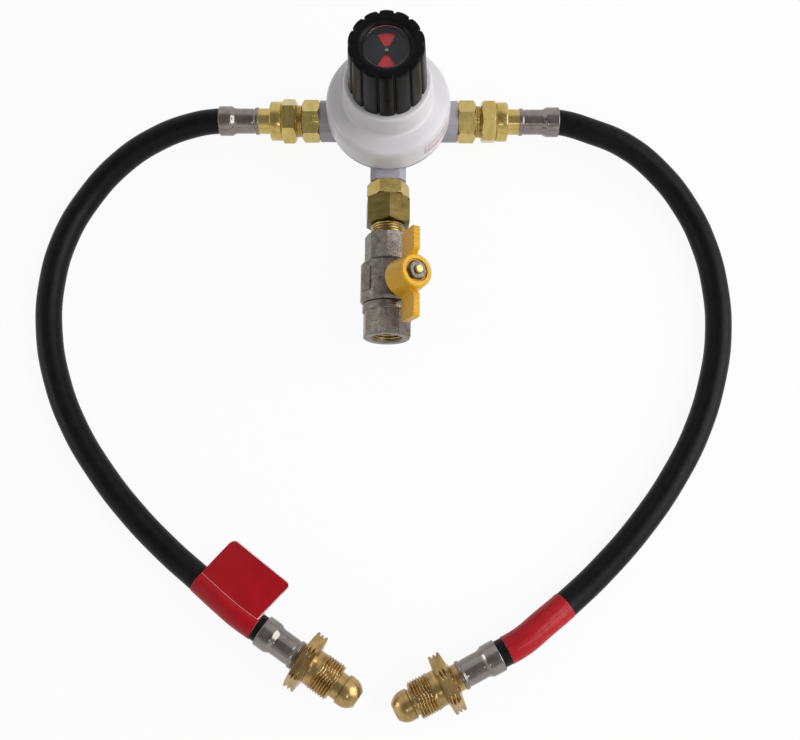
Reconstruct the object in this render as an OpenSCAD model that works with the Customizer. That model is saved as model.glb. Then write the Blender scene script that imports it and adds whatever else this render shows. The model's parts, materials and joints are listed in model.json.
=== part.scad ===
// Automatic changeover gas regulator kit: a round regulator lying on its base, a hose with a
// hand-wheel cylinder fitting on each side, and a quarter-turn ball valve on its outlet.
// The origin is on the base, under the knob's axis. The inlets run along X, the outlet along -Y.

/* [Body casting] */
// Height of the gas line above the base
port_height = 22; // [20:0.5:26]
// Distance from the knob's axis to the face of each boss
boss_reach = 45.3; // [44:0.1:50]
// Width of a boss
boss_width = 23; // [21:0.5:26]
// Height of a boss
boss_height = 22; // [20:0.5:24]
// Chamfer on the long edges of a boss
boss_chamfer = 4; // [2:0.5:5]
// Radius of the flat foot
foot_r = 24; // [22:0.5:26]
// Outer radius of the bowl under the flange
bowl_r = 36; // [35:0.5:37.5]
// Radius of the chamber under the diaphragm
chamber_r = 31; // [29.5:0.5:32]
// Thickness of the chamber's floor
floor_thickness = 5; // [4:0.5:7]
// Radius of the flange that carries the cover
flange_r = 39; // [38.5:0.1:39.5]
// Height of the flange's upper face, which the cover sits on
flange_top = 33; // [31:0.5:36]
// Thickness of the flange
flange_thickness = 4; // [4:0.5:6]
// Radius of the rubber diaphragm
diaphragm_r = 35.5; // [34:0.5:36]
// Thickness of the diaphragm
diaphragm_thickness = 1.5; // [1:0.1:2]

/* [Cover] */
// Outer radius of the white cover
cover_r = 39.75; // [39.5:0.05:42]
// Height of the cover's straight side
cover_side = 16; // [12:0.5:19]
// Radius of the rounded edge above the side
cover_edge_r = 6; // [4:0.5:8]
// Wall of the cover
cover_wall = 3; // [2.5:0.1:4]
// Radius of the neck under the knob
neck_r = 27.5; // [26:0.5:30]
// Height of the neck's top above the base
neck_top = 74.7; // [72:0.1:80]
// Fillet where the neck meets the cover's roof
neck_fillet = 2.5; // [1:0.5:4]

/* [Knob] */
// Radius over the lobes at the foot of the knob
knob_foot_r = 24.5; // [23.5:0.1:27]
// Radius over the lobes at the top of the knob
knob_top_r = 22.5; // [21.5:0.1:24]
// Height of the knob
knob_height = 40.5; // [36:0.5:45]
// Number of lobes round the knob
lobe_count = 14; // [10:1:18]
// Radius of the notch between two lobes
notch_r = 1.5; // [1.2:0.1:2]
// Radius of the selector shaft
shaft_r = 5; // [4:0.5:6]
// Radius of the window
window_r = 13.7; // [12:0.1:15]
// Depth of the window's well below the rim of the knob
well_depth = 9.5; // [9.5:0.5:12]
// Depth of the dished rim round the window
dish_depth = 2; // [1:0.5:2]
// Thickness of the clear lens
lens_thickness = 1.5; // [1:0.1:2]
// Width of each red sector, in degrees
sector_angle = 58; // [40:1:80]
// Outer radius of the red sectors
sector_r = 11.3; // [9:0.1:12]

/* [Diaphragm mechanism] */
// Radius of the plate above the diaphragm
plate_r = 22; // [18:1:24]
// Thickness of that plate
plate_thickness = 1.5; // [1:0.1:2]
// Radius of the stem through the diaphragm
stem_r = 3; // [2.5:0.5:4]
// Radius of the spool on the stem's foot, which holds both levers
spool_r = 5.5; // [5:0.1:6]
// Mean radius of the main spring
spring_r = 10; // [8:0.5:12]
// Diameter of the spring's wire
spring_wire = 1.8; // [1.2:0.1:2.4]
// Number of turns of the spring
spring_turns = 5; // [4:1:6]
// Distance from the knob's axis to the pivot of each lever
lever_pivot_x = 18; // [16:0.5:19]
// Height of the levers' pivots above the base
lever_pivot_z = 14.5; // [13:0.5:15]
// Width of a lever
lever_width = 6; // [5:0.5:8]
// Thickness of a lever's arms
lever_thickness = 2; // [1.5:0.1:2.5]
// Radius of a lever's pin
lever_pin_r = 1.5; // [1.2:0.1:1.8]
// Gap from the seat pad to the nozzle at rest
nozzle_gap = 1; // [0.9:0.1:1.4]

/* [Inlet unions] */
// Size across flats of the inlet adapter
inlet_flats = 24; // [22:0.5:27]
// Length of the adapter's hexagon
adapter_hex = 11.7; // [9:0.1:14]
// Radius of the adapter's outer thread
union_thread_r = 10; // [9.5:0.1:10.5]
// Length of that thread left bare
union_thread_bare = 4; // [2:0.5:6]
// Length of that thread inside the union nut
union_thread_held = 5; // [4:0.5:6]
// Size across flats of the union nut
union_flats = 25.5; // [24:0.5:27]
// Length of the union nut's hexagon
union_hex = 9.5; // [8:0.5:12]
// Radius of the union nut's round end
union_round_r = 12.7; // [11.5:0.1:13]
// Length of the union nut's round end
union_round = 7.5; // [6:0.5:10]
// Radius of the inlet tail's shank
inlet_shank_r = 8.3; // [7.5:0.1:8.5]
// Length of the shank left bare behind the union nut
inlet_shank_bare = 7.8; // [5:0.1:10]

/* [Hoses] */
// Outer radius of the hose
hose_r = 8.25; // [7.5:0.05:8.5]
// Radius of the hose's bore
hose_bore_r = 3.15; // [3:0.05:3.5]
// Sides of the hose's faceted tube
hose_sides = 12; // [8:1:12]

/* [Crimp ferrules] */
// Outer radius of the ferrule's mouth
ferrule_mouth_r = 9.65; // [9.4:0.05:11]
// Length of the mouth
ferrule_mouth = 10.2; // [8:0.1:14]
// Size across the flats of the crimped part
crimp_flats = 15.8; // [15:0.1:17]
// Radius over the crimped part
crimp_r = 8.3; // [8:0.1:9]
// Length of the crimped part
crimp_length = 12.6; // [10:0.1:16]
// Radius of the collar
collar_r = 8.9; // [8.7:0.1:10]
// Length of the collar
collar_length = 3.4; // [2:0.1:5]

/* [Cylinder fittings] */
// Outer radius of the hand wheel
wheel_r = 18.3; // [17:0.1:20]
// Width of the wheel's rim
wheel_rim = 5.4; // [4.5:0.1:7]
// Number of ridges across the rim
ridge_count = 3; // [2:1:4]
// Number of notches round the rim
rim_notches = 20; // [12:1:24]
// Radius of the neck between the wheel and the thread
nut_neck_r = 10.75; // [10:0.05:11]
// Length of that neck
nut_neck = 4.3; // [3:0.1:6]
// Outer radius of the left-hand thread
nut_thread_r = 11.45; // [11.2:0.05:12]
// Length of that thread
nut_thread = 13.1; // [11:0.1:16]
// Radius of the tail's shank, which the nut turns on
tail_shank_r = 8; // [7.5:0.1:8.5]
// Play of the nut along its tail
nut_play = 4.8; // [3.6:0.1:6]
// Radius of the bull nose
nose_r = 9.2; // [8.8:0.1:10]
// Length of the bull nose
nose_length = 11.2; // [9:0.1:14]
// Radius of the flat on the tip of the nose
nose_tip_r = 5; // [4:0.5:6]
// Heading of the left fitting in plan
left_heading = -34; // [-40:1:-28]
// Heading of the right fitting in plan
right_heading = 208; // [202:1:214]

/* [Outlet] */
// Size across flats of the outlet adapter
outlet_flats = 24; // [22:0.5:27]
// Length of the adapter's hexagon
outlet_hex = 10.5; // [8:0.5:14]
// Size across flats of the outlet connector
connector_flats = 27; // [25:0.5:30]
// Length of the connector's hexagon
connector_hex = 18.3; // [14:0.1:22]
// Radius of the G1/2 thread on the connector
pipe_thread_r = 10.48; // [10.3:0.01:10.6]
// Length of that thread left bare
pipe_thread_bare = 7.3; // [5:0.1:10]
// Length of that thread inside the valve
pipe_thread_held = 11; // [9:0.5:12]
// Radius of the gas way
gas_way_r = 5; // [4:0.5:6]

/* [Ball valve] */
// Size across flats of the valve's inlet end
valve_inlet_flats = 27; // [26:0.5:30]
// Length of the valve's inlet end
valve_inlet = 17.9; // [16:0.1:22]
// Radius of the valve's barrel
barrel_r = 17; // [16:0.1:19]
// Length of the barrel
barrel_length = 28; // [28:0.1:32]
// Size across flats of the valve's outlet end
valve_outlet_flats = 28.5; // [27:0.5:30]
// Length of the valve's outlet end beyond its collar
valve_outlet = 16.2; // [16:0.1:22]
// Radius of the collar between the barrel and the outlet end
valve_collar_r = 15.6; // [15:0.1:16.5]
// Length of that collar
valve_collar = 5.8; // [4:0.1:8]
// Wall radius of the outlet's female thread
outlet_bore_r = 9.32; // [9:0.01:9.6]
// Depth of that thread
outlet_bore_depth = 15; // [12:0.5:15]
// Length of the plain cast pad on the side of the barrel
pad_length = 15; // [10:0.5:20]
// Width of that pad
pad_width = 8; // [6:0.5:10]
// Radius of the ball
ball_r = 11.5; // [10.5:0.1:12]
// Radius of the bore through the ball
ball_bore_r = 6.5; // [6:0.5:7]
// Tilt of the valve's stem towards +X
stem_tilt = 28; // [0:1:40]
// Radius of the valve's stem
valve_stem_r = 4; // [3.5:0.1:4.5]
// Height of the gland boss above the gas line
gland_height = 20.5; // [20:0.1:24]
// Radius of the gland boss
gland_r = 8; // [7.5:0.1:8.5]

/* [Butterfly handle] */
// Radius of the hub at its back
hub_back_r = 12.5; // [12:0.1:14]
// Radius of the hub at its front
hub_front_r = 10.2; // [9:0.1:11]
// Height of the hub
hub_height = 18; // [16:0.5:20]
// Reach of each wing from the stem
wing_reach = 29; // [24:0.5:32]
// Thickness of a wing
wing_thickness = 4.3; // [3:0.1:6]
// Step from the back of the hub to the back of a wing
wing_back = 2.5; // [1:0.5:4]
// Number of beads along the front edge of a wing
wing_beads = 9; // [6:1:10]
// Size across flats of the handle nut
handle_nut_flats = 11; // [10:0.5:13]
// Thickness of the handle nut
handle_nut_height = 3.2; // [2.5:0.1:5]

/* [Tags] */
// Distance from a ferrule's mouth to the tag
tag_gap = 4.5; // [4:0.5:10]
// Thickness of a tag's film
tag_thickness = 0.4; // [0.3:0.05:0.6]
// Reach of the left tag's flag from the middle of the hose
flag_reach = 32.5; // [24:0.5:36]

/* [Hidden] */
$fn = 96;

left = -1;
right = 1;

// Clearances: round pieces that are screwed or pressed together, pieces that turn in one
// another, and faces that stay apart.
press_gap = 0.02;
running_gap = 0.05;
free_gap = 0.3;
eps = 0.01;

// Colours.
zinc = "#8f929b";
white = "#eceaf0";
black = "#1b1b1d";
brass = "#b8943f";
steel = "#a9a49c";
nickel = "#a39a92";
rubber = "#26262a";
yellow = "#dda31a";
red = "#b3121f";
ptfe = "#e8e6df";
clear = [0.85, 0.9, 0.95, 0.35];

// Regulator heights, from the base up.
flange_bottom = flange_top - flange_thickness;
diaphragm_bottom = flange_top - diaphragm_thickness;
cover_roof = flange_top + cover_side + cover_edge_r;
roof_edge_r = cover_r - cover_edge_r;
neck_foot_z = cover_roof + 1.3;
neck_roof_bottom = neck_top - cover_wall - 1.7;
chamber_roof = cover_roof - cover_wall;
neck_inner_r = neck_r - cover_wall;
plate_top = flange_top + plate_thickness;

// The chamber's foot, and the inlet and outlet sockets in the casting.
chamber_foot_r = foot_r - 1.5;
inlet_socket_r = 6.58;
outlet_socket_r = 8.33;
socket_depth = 12;
nozzle_r = 4;
nozzle_orifice_r = 0.8;
seat_r = 1.8;

// Selector shaft and spring cup.
shaft_flange_r = 9;
shaft_flange = 3.7;
shaft_tip_z = 58.3;
cup_r = spring_r + 3;
cup_thickness = 2;
cup_boss_r = 6;
cup_top = shaft_tip_z - free_gap;
cup_bottom = cup_top - 2 * cup_thickness;

// The main spring's wire, wound between the plate and the cup.
spring_steps = 10;
spring_seat = spring_wire / 2 + free_gap;
spring_points = [
    for (i = [0:spring_turns * spring_steps])
        let (
            angle = 360 * i / spring_steps,
            share = i / spring_turns / spring_steps,
            foot = plate_top + spring_seat,
            head = cup_bottom - spring_seat
        )
        [spring_r * cos(angle), spring_r * sin(angle), foot + (head - foot) * share]
];
echo(spring_gap = min([
    for (i = [spring_steps:len(spring_points) - 1])
        norm(spring_points[i] - spring_points[i - spring_steps]) - spring_wire
]));

// Knob, from its foot up.
knob_foot_z = neck_top + free_gap;
knob_top_z = knob_foot_z + knob_height;
knob_wall = 4;
knob_hub_r = shaft_r + 3.5;
knob_socket_top = knob_foot_z + 17;
knob_hollow_top = knob_foot_z + 20;
well_floor_z = knob_top_z - well_depth;
lens_seat_z = knob_top_z - dish_depth - lens_thickness;
lens_ledge = 0.5;
mask_thickness = 0.8;
mask_z = well_floor_z + 2;
mask_ledge = 0.6;
vane_thickness = 0.8;
vane_z = well_floor_z + 0.6;
vane_r = window_r - lens_ledge - mask_ledge - 0.5;
mask_r = window_r - lens_ledge - 0.1;
dial_pin_r = 1.2;
rim_land_r = window_r + 2;

// Levers.
seat_pad_r = 3;
seat_pad_thickness = 1.6;
lever_hub_r = lever_pin_r + 1.8;
lever_inner_x = 3;
lever_arm_top = port_height + seat_pad_r + 0.5;
lever_face_x = lever_pivot_x + lever_thickness / 2;
nozzle_tip_x = lever_face_x + seat_pad_thickness + nozzle_gap;
lug_thickness = 3;
lug_gap = lever_width / 2 + free_gap;
lug_width = 7;
groove_gap = 0.4;
groove_bottom = lever_pivot_z - lever_thickness / 2 - groove_gap;
groove_top = lever_pivot_z + lever_thickness / 2 + groove_gap;
spool_flange = 1.5;
spool_core_r = 2.3;

// Stations along an inlet, from the knob's axis outwards.
adapter_end = boss_reach + adapter_hex;
union_start = adapter_end + union_thread_bare;
union_seat = union_start + union_thread_held;
union_hex_end = union_start + union_hex;
union_end = union_hex_end + union_round;
union_wall = 5.5;
left_union_turn = 16;
right_union_turn = 20;
inlet_ferrule_start = union_end + inlet_shank_bare;

// The ferrule, from its collar to its mouth, and the hose end in it.
ferrule_length = collar_length + crimp_length + ferrule_mouth;
mouth_bore_r = hose_r + free_gap;
ferrule_bore_r = 4.5;
barb_r = hose_bore_r - 0.25;
barb_length = ferrule_mouth - 1;
mouth_step = 2.2;
hose_inset = ferrule_mouth - mouth_step - 0.1;
inlet_mouth = inlet_ferrule_start + ferrule_length;

// Stations along a cylinder fitting, from its ferrule's mouth outwards.
fitting_height = wheel_r + 0.2;
wheel_back = 2.6;
wheel_hub_r = 9;
wheel_front_r = 12.6;
wheel_front = 1.6;
ridge_depth = 1.2;
nut_length = wheel_back + wheel_rim + wheel_front + nut_neck + nut_thread;
nose_start = ferrule_length + nut_play + nut_length;
fitting_length = nose_start + nose_length;
left_nut_shift = free_gap;
right_nut_shift = nut_play - 1.6;
left_mouth = [-72, -327];
right_mouth = [68, -340];

// Stations along the outlet, from the knob's axis outwards.
outlet_hex_end = boss_reach + outlet_hex;
connector_end = outlet_hex_end + connector_hex;
valve_start = connector_end + pipe_thread_bare;
barrel_start = valve_start + valve_inlet;
barrel_end = barrel_start + barrel_length;
valve_collar_end = barrel_end + valve_collar;
valve_length_end = valve_collar_end + valve_outlet;
valve_centre = barrel_start + 16.5;
adapter_spigot_r = 8;
adapter_spigot = 10;
pad_height = 0.6;
pad_turn = 140;

// Inside the valve.
valve_cavity_r = ball_r + 0.8;
seat_length = 4;
cavity_start = valve_centre - ball_r;
cavity_end = valve_centre + ball_r;
insert_thread_r = 13.4;
ball_gap = 0.2;
slot_width = 4;
slot_depth = 3;
packing_r = 6.2;
packing_length = 4;
hub_back = gland_height + 1;
hub_front = hub_back + hub_height;
hub_wall = 2.8;
hub_hollow = 6;
hub_recess_r = 7.4;
nut_seat = hub_front - 1.5;
stem_top = nut_seat + handle_nut_height + 2;
stem_thread_r = 2.7;
square_side = 5.6;
bead_gap = 0.45;

// Free points of each hose, from its inlet ferrule to its end ferrule. The ends inside the
// ferrules are added to them below.
left_free_points = [
    [-130.5, -3, 21.5],
    [-155.5, -12.5, 19],
    [-179, -27.5, 14],
    [-199.5, -50.5, 9.5],
    [-213, -78, 8.5],
    [-219, -110, 8.5],
    [-218, -141, 8.5],
    [-210, -174, 8.5],
    [-196, -205, 8.5],
    [-178, -232, 8.5],
    [-156, -258, 8.5],
    [-131.5, -281.5, 8.5],
    [-111, -298, 11.5],
    [-98, -308.5, 15],
    [-85, -318.5, 17.8]
];
right_free_points = [
    [133, -6, 21.5],
    [156.5, -15.5, 19],
    [178.5, -32, 14],
    [196, -54, 9.5],
    [207, -80, 8.5],
    [212.5, -110, 8.5],
    [212.5, -141, 8.5],
    [206.5, -172, 8.5],
    [195, -204, 8.5],
    [179, -233, 8.5],
    [158, -262, 8.5],
    [133, -289.5, 8.5],
    [108.5, -311.5, 11],
    [95, -322, 15],
    [81.5, -332.5, 17.8]
];

// A tag's sleeve lies on the last free points of its hose.
tag_points = 3;
tag_inner_r = hose_r + 0.2;

function heading(angle) = [cos(angle), sin(angle), 0];
function fitting_mouth(side) =
    let (mouth = side == left ? left_mouth : right_mouth) [mouth[0], mouth[1], fitting_height];
function fitting_heading(side) = side == left ? left_heading : right_heading;
function free_points(side) = side == left ? left_free_points : right_free_points;
function hose_route(side) =
    let (
        mouth = fitting_mouth(side),
        ahead = heading(fitting_heading(side))
    )
    concat(
        [
            [side * (inlet_mouth - hose_inset), 0, port_height],
            [side * inlet_mouth, 0, port_height]
        ],
        free_points(side),
        [mouth, mouth + hose_inset * ahead]
    );
function tag_route(side) =
    let (
        points = free_points(side),
        count = len(points),
        mouth = fitting_mouth(side),
        last = points[count - 1],
        back = (last - mouth) / norm(last - mouth)
    )
    concat([for (i = [count - tag_points:count - 1]) points[i]], [mouth + tag_gap * back]);
function route_length(points) =
    let (steps = [for (i = [1:len(points) - 1]) norm(points[i] - points[i - 1])])
    steps * [for (step = steps) 1];
echo(left_hose_length = route_length(hose_route(left)));
echo(right_hose_length = route_length(hose_route(right)));

// ---------- Shared shapes ----------

// A solid of revolution about Z from points [radius, height].
module turned(outline) {
    rotate_extrude() polygon(outline);
}

// A hexagonal or octagonal prism along Z with both ends chamfered.
module nut_prism(sides, flats, length, turn = 0) {
    corner_r = flats / 2 / cos(180 / sides);
    land_r = flats / 2 - 0.3;
    chamfer = (corner_r - land_r) * 0.6;
    intersection() {
        rotate([0, 0, turn]) cylinder(h = length, r = corner_r, $fn = sides);
        turned([
            [0, 0],
            [land_r, 0],
            [corner_r + eps, chamfer],
            [corner_r + eps, length - chamfer],
            [land_r, length],
            [0, length]
        ]);
    }
}

// A rectangular bar along Z with chamfered long edges.
module chamfered_bar(size_x, size_y, chamfer, length) {
    x = size_x / 2;
    y = size_y / 2;
    linear_extrude(length) polygon([
        [-x + chamfer, -y], [x - chamfer, -y], [x, -y + chamfer], [x, y - chamfer],
        [x - chamfer, y], [-x + chamfer, y], [-x, y - chamfer], [-x, -y + chamfer]
    ]);
}

// A round hole along Z from one height to another.
module bore(radius, from, to) {
    translate([0, 0, from]) cylinder(h = to - from, r = radius);
}

// A round bar that is a little longer than it looks, to cut with.
module drill(radius, from, to) {
    bore(radius, from - eps, to + eps);
}

// Placements: each turns +Z along a line of the object.
module along_inlet(side) {
    translate([0, 0, port_height]) rotate([0, side * 90, 0]) children();
}

module along_outlet() {
    translate([0, 0, port_height]) rotate([90, 0, 0]) children();
}

module along_fitting(side) {
    translate(fitting_mouth(side)) rotate([0, 0, fitting_heading(side)]) rotate([0, 90, 0])
        children();
}

module along_stem() {
    translate([0, -valve_centre, port_height]) rotate([0, stem_tilt, 0]) children();
}

// The corners of a regular polygon that stands for a circle, with a flat at its top.
function round_outline(radius, sides) = [
    for (k = [0:sides - 1])
        let (angle = 360 * (k + 0.5) / sides)
        radius * [cos(angle), sin(angle)]
];

// A bar swept along points: its convex outline is [across, up], and a hole makes it a tube.
// The hole has as many corners as the outline.
module swept(points, outline, hole = []) {
    count = len(points);
    sides = len(outline);
    total = count * sides;
    last = total - sides;
    function tangent(i) =
        let (
            before = points[max(i - 1, 0)],
            after = points[min(i + 1, count - 1)]
        )
        (after - before) / norm(after - before);
    function ring(i, corners) =
        let (
            ahead = tangent(i),
            flat = cross(ahead, [0, 0, 1]),
            across = flat / norm(flat),
            up = cross(across, ahead)
        )
        [for (corner = corners) points[i] + corner[0] * across + corner[1] * up];
    function rings(corners) = [for (i = [0:count - 1]) each ring(i, corners)];
    function split(a, b, c, d) = [[a, b, c], [a, c, d]];
    function wall(start, outward) = [
        for (i = [0:count - 2], k = [0:sides - 1])
            let (
                a = start + i * sides + k,
                b = start + i * sides + (k + 1) % sides
            )
            each (outward ? split(a, b, b + sides, a + sides) : split(a, a + sides, b + sides, b))
    ];
    function rim(start, ahead) = [
        for (k = [0:sides - 1])
            let (
                a = start + k,
                b = start + (k + 1) % sides
            )
            each (ahead ? split(a, b, b + total, a + total) : split(a, a + total, b + total, b))
    ];
    function cap(start, ahead) = [
        for (k = [1:sides - 2])
            ahead ? [start, start + k, start + k + 1] : [start, start + k + 1, start + k]
    ];
    if (len(hole) > 0)
        polyhedron(
            points = concat(rings(outline), rings(hole)),
            faces = concat(wall(0, true), wall(total, false), rim(0, false), rim(last, true))
        );
    else
        polyhedron(
            points = rings(outline),
            faces = concat(wall(0, true), cap(0, false), cap(last, true))
        );
}

// ---------- Regulator ----------

module casting_outline() {
    turned([
        [0, 0],
        [foot_r, 0],
        [foot_r + 1, 1],
        [bowl_r, flange_bottom],
        [flange_r, flange_bottom + 2],
        [flange_r, flange_top],
        [0, flange_top]
    ]);
}

module lever_lugs(side) {
    for (y = [-1, 1])
        translate([
            side * lever_pivot_x - lug_width / 2,
            y > 0 ? lug_gap : -lug_gap - lug_thickness,
            floor_thickness - eps
        ])
            cube([lug_width, lug_thickness, lever_pivot_z + lever_pin_r + 1.5 - floor_thickness]);
}

module body_casting() {
    color(zinc) difference() {
        union() {
            difference() {
                union() {
                    casting_outline();
                    for (side = [left, right])
                        along_inlet(side)
                            chamfered_bar(boss_height, boss_width, boss_chamfer, boss_reach);
                    along_outlet()
                        chamfered_bar(boss_width, boss_height, boss_chamfer, boss_reach);
                }
                turned([
                    [0, floor_thickness],
                    [chamber_foot_r - 2, floor_thickness],
                    [chamber_foot_r, floor_thickness + 2],
                    [chamber_r, flange_bottom],
                    [chamber_r, flange_top + 1],
                    [0, flange_top + 1]
                ]);
                bore(diaphragm_r + press_gap, diaphragm_bottom, flange_top + 1);
            }
            for (side = [left, right]) lever_lugs(side);
        }
        for (side = [left, right]) {
            along_inlet(side) {
                drill(inlet_socket_r, boss_reach - socket_depth, boss_reach);
                bore(nozzle_r + press_gap, chamber_foot_r + 1, boss_reach - socket_depth + 1);
            }
            translate([side * lever_pivot_x, 0, lever_pivot_z]) rotate([90, 0, 0])
                bore(lever_pin_r + press_gap, -lug_gap - lug_thickness - 1,
                    lug_gap + lug_thickness + 1);
        }
        along_outlet() {
            drill(outlet_socket_r, boss_reach - socket_depth, boss_reach);
            bore(gas_way_r, chamber_foot_r + 1, boss_reach - socket_depth + 1);
        }
    }
}

module cover() {
    color(white) difference() {
        rotate_extrude() difference() {
            union() {
                polygon([
                    [0, flange_top],
                    [cover_r, flange_top],
                    [cover_r, cover_roof - cover_edge_r],
                    [roof_edge_r, cover_roof],
                    [neck_r + neck_fillet, neck_foot_z],
                    [neck_r, neck_foot_z + neck_fillet],
                    [neck_r, neck_top - 0.8],
                    [neck_r - 0.8, neck_top],
                    [0, neck_top]
                ]);
                translate([roof_edge_r, cover_roof - cover_edge_r]) intersection() {
                    circle(r = cover_edge_r);
                    square(cover_edge_r);
                }
            }
            translate([neck_r + neck_fillet, neck_foot_z + neck_fillet])
                circle(r = neck_fillet);
        }
        turned([
            [0, flange_top - eps],
            [cover_r - 2 * cover_wall, flange_top - eps],
            [cover_r - 2 * cover_wall, flange_top + 3],
            [cover_r - cover_wall, flange_top + 6],
            [cover_r - cover_wall, chamber_roof - 6],
            [roof_edge_r, chamber_roof],
            [neck_inner_r, chamber_roof],
            [neck_inner_r, neck_roof_bottom],
            [0, neck_roof_bottom]
        ]);
        drill(shaft_r + running_gap, neck_roof_bottom, neck_top);
    }
}

module diaphragm() {
    bead_in = plate_r + 0.5;
    bead_out = chamber_r - 0.5;
    bead_r = (bead_out - bead_in) / 2;
    color(rubber) rotate_extrude() difference() {
        union() {
            translate([stem_r + press_gap, diaphragm_bottom])
                square([diaphragm_r - stem_r - press_gap, diaphragm_thickness]);
            translate([bead_in + bead_r, diaphragm_bottom]) circle(r = bead_r);
        }
        translate([bead_in + bead_r, diaphragm_bottom])
            circle(r = bead_r - diaphragm_thickness);
        translate([bead_in, diaphragm_bottom - 2 * bead_r]) square([2 * bead_r, 2 * bead_r]);
    }
}

module diaphragm_plate() {
    hole_r = stem_r + press_gap;
    rim_r = plate_r - 0.5;
    rim_top = plate_top + 2;
    spring_boss_r = spring_r * cos(180 / spring_steps) - spring_wire / 2 - free_gap;
    color(steel) turned([
        [hole_r, flange_top],
        [rim_r, flange_top],
        [rim_r, rim_top],
        [rim_r - plate_thickness, rim_top],
        [rim_r - plate_thickness, plate_top],
        [spring_boss_r, plate_top],
        [spring_boss_r, rim_top],
        [hole_r, rim_top]
    ]);
}

// The stem's foot is a spool, whose groove holds the inner ends of both levers.
module diaphragm_stem() {
    color(brass) turned([
        [0, groove_bottom - spool_flange],
        [spool_r, groove_bottom - spool_flange],
        [spool_r, groove_bottom],
        [spool_core_r, groove_bottom],
        [spool_core_r, groove_top],
        [spool_r, groove_top],
        [spool_r, groove_top + spool_flange],
        [stem_r, groove_top + spool_flange + 2],
        [stem_r, diaphragm_bottom - 2],
        [stem_r + 5, diaphragm_bottom - 2],
        [stem_r + 5, diaphragm_bottom],
        [stem_r, diaphragm_bottom],
        [stem_r, plate_top + 3.5],
        [0, plate_top + 4]
    ]);
}

// The main spring: one unbroken wire wound between the plate and the cup.
module main_spring() {
    color(steel) swept(spring_points, round_outline(spring_wire / 2, 6));
}

module spring_cup() {
    color(steel) turned([
        [0, cup_bottom],
        [cup_r, cup_bottom],
        [cup_r, cup_bottom + cup_thickness],
        [cup_boss_r, cup_bottom + cup_thickness],
        [cup_boss_r, cup_top],
        [0, cup_top]
    ]);
}

module selector_shaft() {
    color(brass) turned([
        [0, shaft_tip_z],
        [shaft_r - 1.5, shaft_tip_z],
        [shaft_r, shaft_tip_z + 1.5],
        [shaft_r, neck_roof_bottom - free_gap - shaft_flange],
        [shaft_flange_r, neck_roof_bottom - free_gap - shaft_flange],
        [shaft_flange_r, neck_roof_bottom - free_gap],
        [shaft_r, neck_roof_bottom - free_gap],
        [shaft_r, knob_socket_top - 1.5],
        [shaft_r - 1, knob_socket_top - 0.5],
        [0, knob_socket_top - 0.5]
    ]);
}

module knob_outline() {
    turned([
        [0, knob_foot_z],
        [knob_foot_r - 0.8, knob_foot_z],
        [knob_foot_r, knob_foot_z + 0.8],
        [knob_top_r, knob_top_z - 1.5],
        [knob_top_r - 1.5, knob_top_z],
        [rim_land_r, knob_top_z],
        [window_r, knob_top_z - dish_depth],
        [window_r, lens_seat_z],
        [window_r - lens_ledge, lens_seat_z],
        [window_r - lens_ledge, mask_z],
        [window_r - lens_ledge - mask_ledge, mask_z],
        [window_r - lens_ledge - mask_ledge, well_floor_z],
        [0, well_floor_z]
    ]);
}

module knob() {
    lean = atan((knob_foot_r - knob_top_r) / knob_height);
    color(black) difference() {
        knob_outline();
        for (i = [0:lobe_count - 1])
            rotate([0, 0, 360 * i / lobe_count])
                translate([knob_foot_r + notch_r * 0.2, 0, knob_foot_z])
                    rotate([0, -lean, 0]) bore(notch_r, -2, knob_height + 2);
        difference() {
            bore(knob_foot_r - knob_wall - 1, knob_foot_z - 1, knob_hollow_top);
            bore(knob_hub_r, knob_foot_z - 2, knob_hollow_top + 1);
        }
        bore(shaft_r + press_gap, knob_foot_z - 1, knob_socket_top);
        bore(dial_pin_r + press_gap, well_floor_z - 3, well_floor_z + 1);
    }
}

// Two opposite sectors, centred on the Y axis.
module bow_tie(radius, angle, height) {
    reach = 2 * radius;
    half = angle / 2;
    linear_extrude(height) intersection() {
        circle(r = radius);
        for (turn = [0, 180])
            rotate(turn)
                polygon([[0, 0], [reach * sin(half), reach * cos(half)],
                    [-reach * sin(half), reach * cos(half)]]);
    }
}

module indicator_vane() {
    color(red) translate([0, 0, vane_z]) difference() {
        union() {
            bow_tie(vane_r, sector_angle + 6, vane_thickness);
            cylinder(h = vane_thickness, r = 3);
        }
        drill(dial_pin_r + running_gap, 0, vane_thickness);
    }
}

module indicator_pin() {
    color(steel) turned([
        [0, well_floor_z - 3],
        [dial_pin_r, well_floor_z - 3],
        [dial_pin_r, mask_z + mask_thickness + 0.6],
        [dial_pin_r - 0.5, mask_z + mask_thickness + 1.1],
        [0, mask_z + mask_thickness + 1.1]
    ]);
}

module dial_mask() {
    color(black) translate([0, 0, mask_z]) difference() {
        cylinder(h = mask_thickness, r = mask_r);
        difference() {
            translate([0, 0, -1]) bow_tie(sector_r, sector_angle, mask_thickness + 2);
            translate([0, 0, -2]) cylinder(h = mask_thickness + 4, r = 2.6);
        }
        drill(dial_pin_r + press_gap, 0, mask_thickness);
    }
}

module window_lens() {
    color(clear) bore(window_r - 0.1, lens_seat_z, lens_seat_z + lens_thickness);
}

module inlet_nozzle(side) {
    color(brass) along_inlet(side) difference() {
        turned([
            [0, nozzle_tip_x],
            [seat_r, nozzle_tip_x],
            [nozzle_r, nozzle_tip_x + 2.2],
            [nozzle_r, boss_reach - socket_depth],
            [0, boss_reach - socket_depth]
        ]);
        drill(nozzle_orifice_r, nozzle_tip_x, boss_reach - socket_depth);
    }
}

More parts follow.
